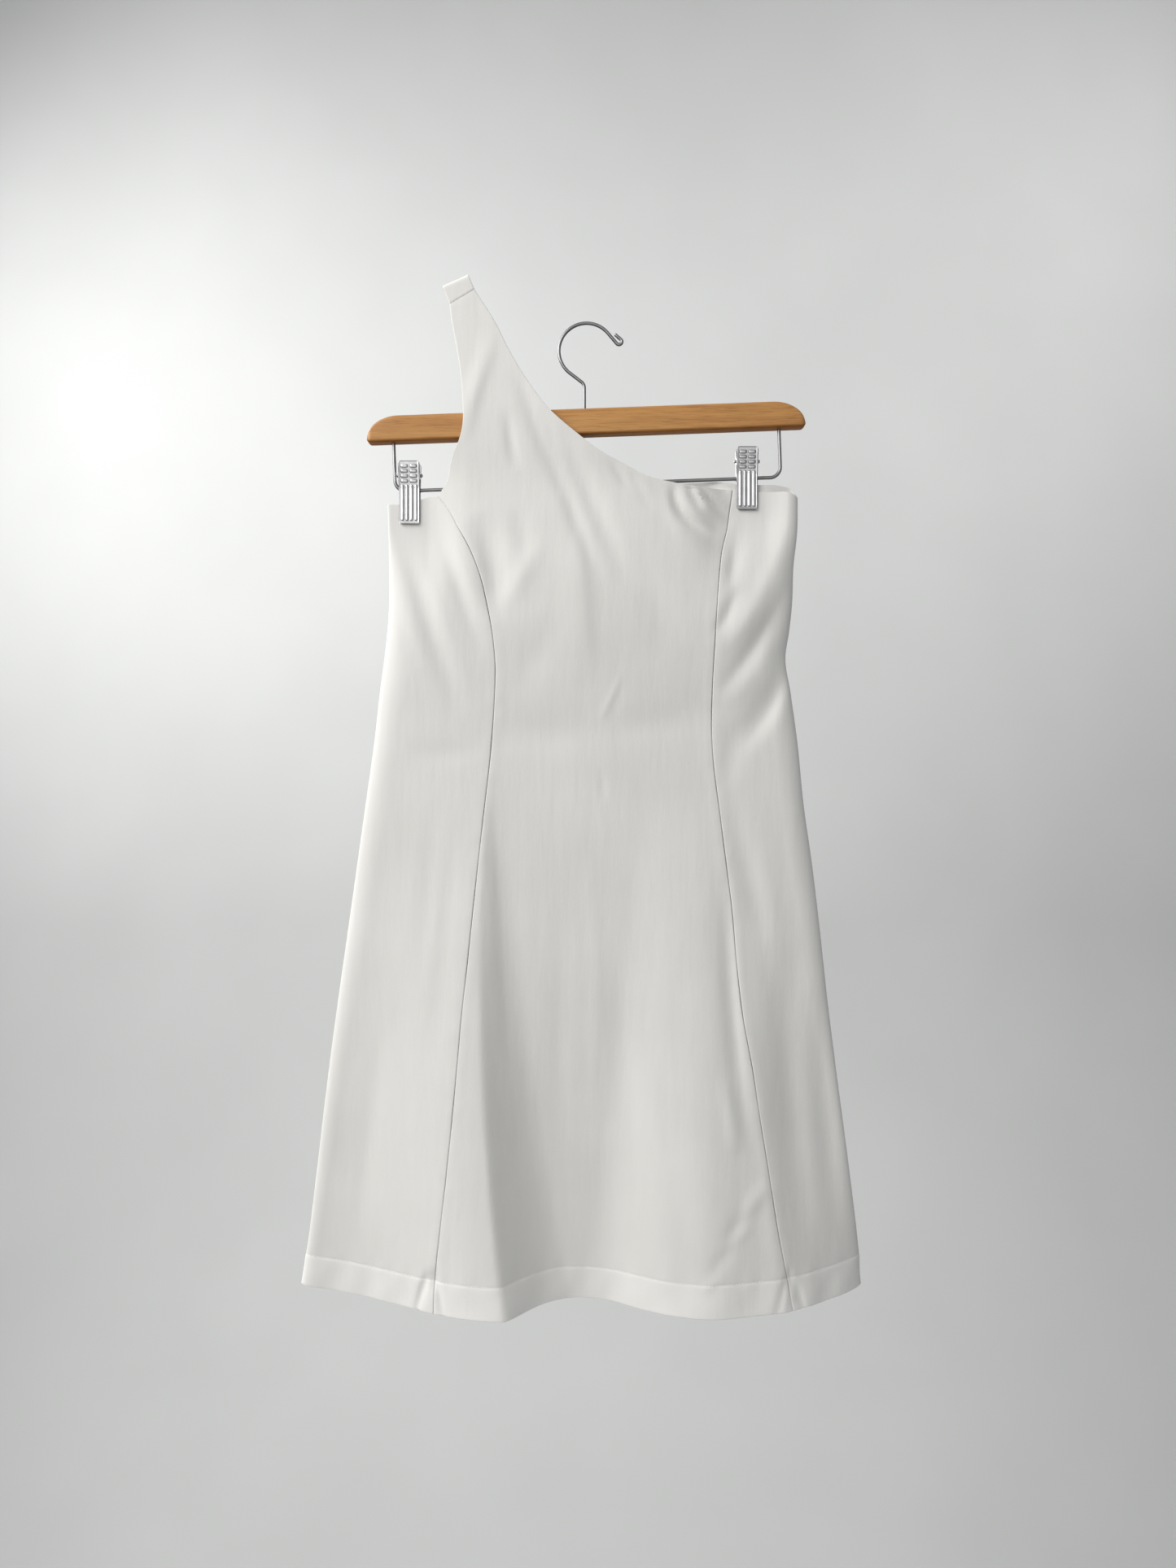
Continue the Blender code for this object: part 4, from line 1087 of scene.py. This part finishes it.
def pin_surface(x, z):
    """A pin turned about x: a round bar with a domed head at each end.

    The head's rows are shares of the pin's half length and radii.
    """
    head = (
        (-1.0, 0.0), (-0.985, 0.75), (-0.955, 1.25), (-0.93, 1.45), (-0.90, 1.55), (-0.86, 1.5),
        (-0.855, 1.1),
    )
    along, radius = np.vstack((head, np.array(head)[::-1] * (-1, 1))).T
    turn = np.linspace(0.0, 2 * math.pi, 21)[:-1]
    points = np.stack((
        x + along[:, None] * PIN_HALF + 0 * turn,
        radius[:, None] * np.cos(turn),
        z + radius[:, None] * np.sin(turn),
    ), axis=-1)
    return points.reshape(-1, 3), grid_faces(len(along), 20, wrap=True)


def spring_surface(x, z):
    """A torsion spring: a helix of four turns round the pin, its two ends out to the leaves."""
    turn = np.linspace(0.0, 8 * math.pi, 120)
    coil = np.column_stack((x - 3.0 + 6.0 * turn / turn[-1], 1.95 * np.sin(turn), z + 1.95 * np.cos(turn)))
    first = np.array(((x - 3.0, -2.9, z + 8.6), (x - 3.0, -2.0, z + 5.0)))
    last = np.array(((x + 3.0, 2.0, z + 5.0), (x + 3.0, 2.9, z + 8.6)))
    return tube(np.concatenate((first, coil, last)), 0.42, 8, (1.0, 0.02, 0.01))


CHROME = metal("clip_chrome", (0.74, 0.74, 0.75), (0.88, 0.88, 0.89), (0.26, 0.38))
for label, x, top in CLIPS:
    outer_ear = CLIP_WIDTH / 2 - EAR_THICK / 2
    for face, side, ear_x in (("front", -1, outer_ear), ("back", 1, outer_ear - EAR_THICK - 0.3)):
        vertices, faces, grime_and_shade = clip_leaf(x, top, side, ear_x)
        new_piece(
            f"{label}_clip_{face}_leaf", f"clip_{label}_{face}", vertices, faces, CHROME, "clip_chrome",
            merge=0.0001, tone=grime_and_shade,
        )
    pin = pin_surface(x, top - PIVOT_DROP)
    new_piece(f"{label}_clip_pivot", f"clip_{label}_pin", *pin, STEEL, "steel_wire", merge=0.0001)
    spring = spring_surface(x, top - PIVOT_DROP)
    new_piece(f"{label}_clip_spring", None, *spring, STEEL, "steel_wire", merge=0.0001)


# Studio. A pale floor that sweeps up far behind the dress, soft light from the upper left, and the
# camera straight in front at the height of the waist.

def sweep_surface():
    """The floor's profile in y and z, a flat run, a quarter circle and a wall, carried along x."""
    turn = np.linspace(0.0, 0.5 * math.pi, 24)
    bend = np.column_stack((1.4 + 1.6 * np.sin(turn), -0.85 - 1.6 * np.cos(turn)))
    profile = np.concatenate((((-5.0, -2.45), (0.0, -2.45)), bend, ((3.0, 2.0), (3.0, 5.0))))
    x = np.linspace(-6.0, 6.0, 9)[:, None]
    points = np.stack((x + 0 * profile[:, 0], profile[:, 0] + 0 * x, profile[:, 1] + 0 * x), axis=-1)
    return points.reshape(-1, 3), grid_faces(9, len(profile))


def pale_floor():
    """Matt paint: a pale grey with the faintest unevenness."""
    finish, add, shade = new_finish("pale_floor")
    cloud = noise(add, (2.0, 2.0, 2.0), 2.0)
    shade(Base_Color=ramp(add, cloud, (0.3, 0.50, 0.506, 0.502), (0.7, 0.525, 0.531, 0.527)), Roughness=0.9)
    return finish


vertices, faces = sweep_surface()
mesh = bpy.data.meshes.new("studio_floor")
mesh.from_pydata(vertices.tolist(), [], faces[:, ::-1].tolist())
mesh.shade_smooth()
mesh.materials.append(pale_floor())
floor = bpy.data.objects.new("studio_floor", mesh)
bpy.context.scene.collection.objects.link(floor)


def soft_light(name, place, aim, size, watts, colour, spread=180):
    """A square lamp that faces a point and lights a cone of the given spread in degrees."""
    lamp = bpy.data.lights.new(name, "AREA")
    lamp.shape = "SQUARE"
    lamp.size = size
    lamp.spread = math.radians(spread)
    lamp.energy = watts
    lamp.color = colour
    holder = bpy.data.objects.new(name, lamp)
    bpy.context.scene.collection.objects.link(holder)
    holder.location = place
    away = np.array(place) - np.array(aim)
    level = math.hypot(away[0], away[1])
    holder.rotation_euler = (math.atan2(level, away[2]), 0.0, math.atan2(away[1], away[0]) + 0.5 * math.pi)


soft_light("window", (-1.55, -1.1, 0.85), (0.0, 0.0, -0.1), 1.8, 45.0, (1.0, 0.985, 0.955))
soft_light("front_fill", (-0.5, -2.3, -0.2), (0.0, 0.0, -0.1), 2.2, 7.0, (1.0, 0.985, 0.97))
soft_light("wall_wash", (-2.6, 0.9, 1.4), (0.3, 3.0, -0.2), 1.6, 66.0, (1.0, 1.0, 0.99), 120)
soft_light("wall_wash_right", (2.5, 1.0, 2.3), (0.9, 3.0, 0.7), 1.6, 17.0, (1.0, 1.0, 0.99), 100)
soft_light("back_fill", (-1.3, 1.8, 0.5), (0.0, 0.0, -0.4), 1.4, 20.0, (1.0, 1.0, 1.0))

world = bpy.data.worlds.new("studio")
world.use_nodes = True
world.node_tree.nodes["Background"].inputs["Color"].default_value = (0.97, 0.985, 1.0, 1.0)
world.node_tree.nodes["Background"].inputs["Strength"].default_value = 0.34
bpy.context.scene.world = world
bpy.context.scene.view_settings.view_transform = "Standard"

lens = bpy.data.cameras.new("camera")
lens.lens = 26.77
lens.sensor_width = 36.0
camera = bpy.data.objects.new("camera", lens)
camera.location = (0.0, -0.95, -0.374)
camera.rotation_euler = (0.5 * math.pi, 0.0, 0.0)
bpy.context.scene.collection.objects.link(camera)
bpy.context.scene.camera = camera
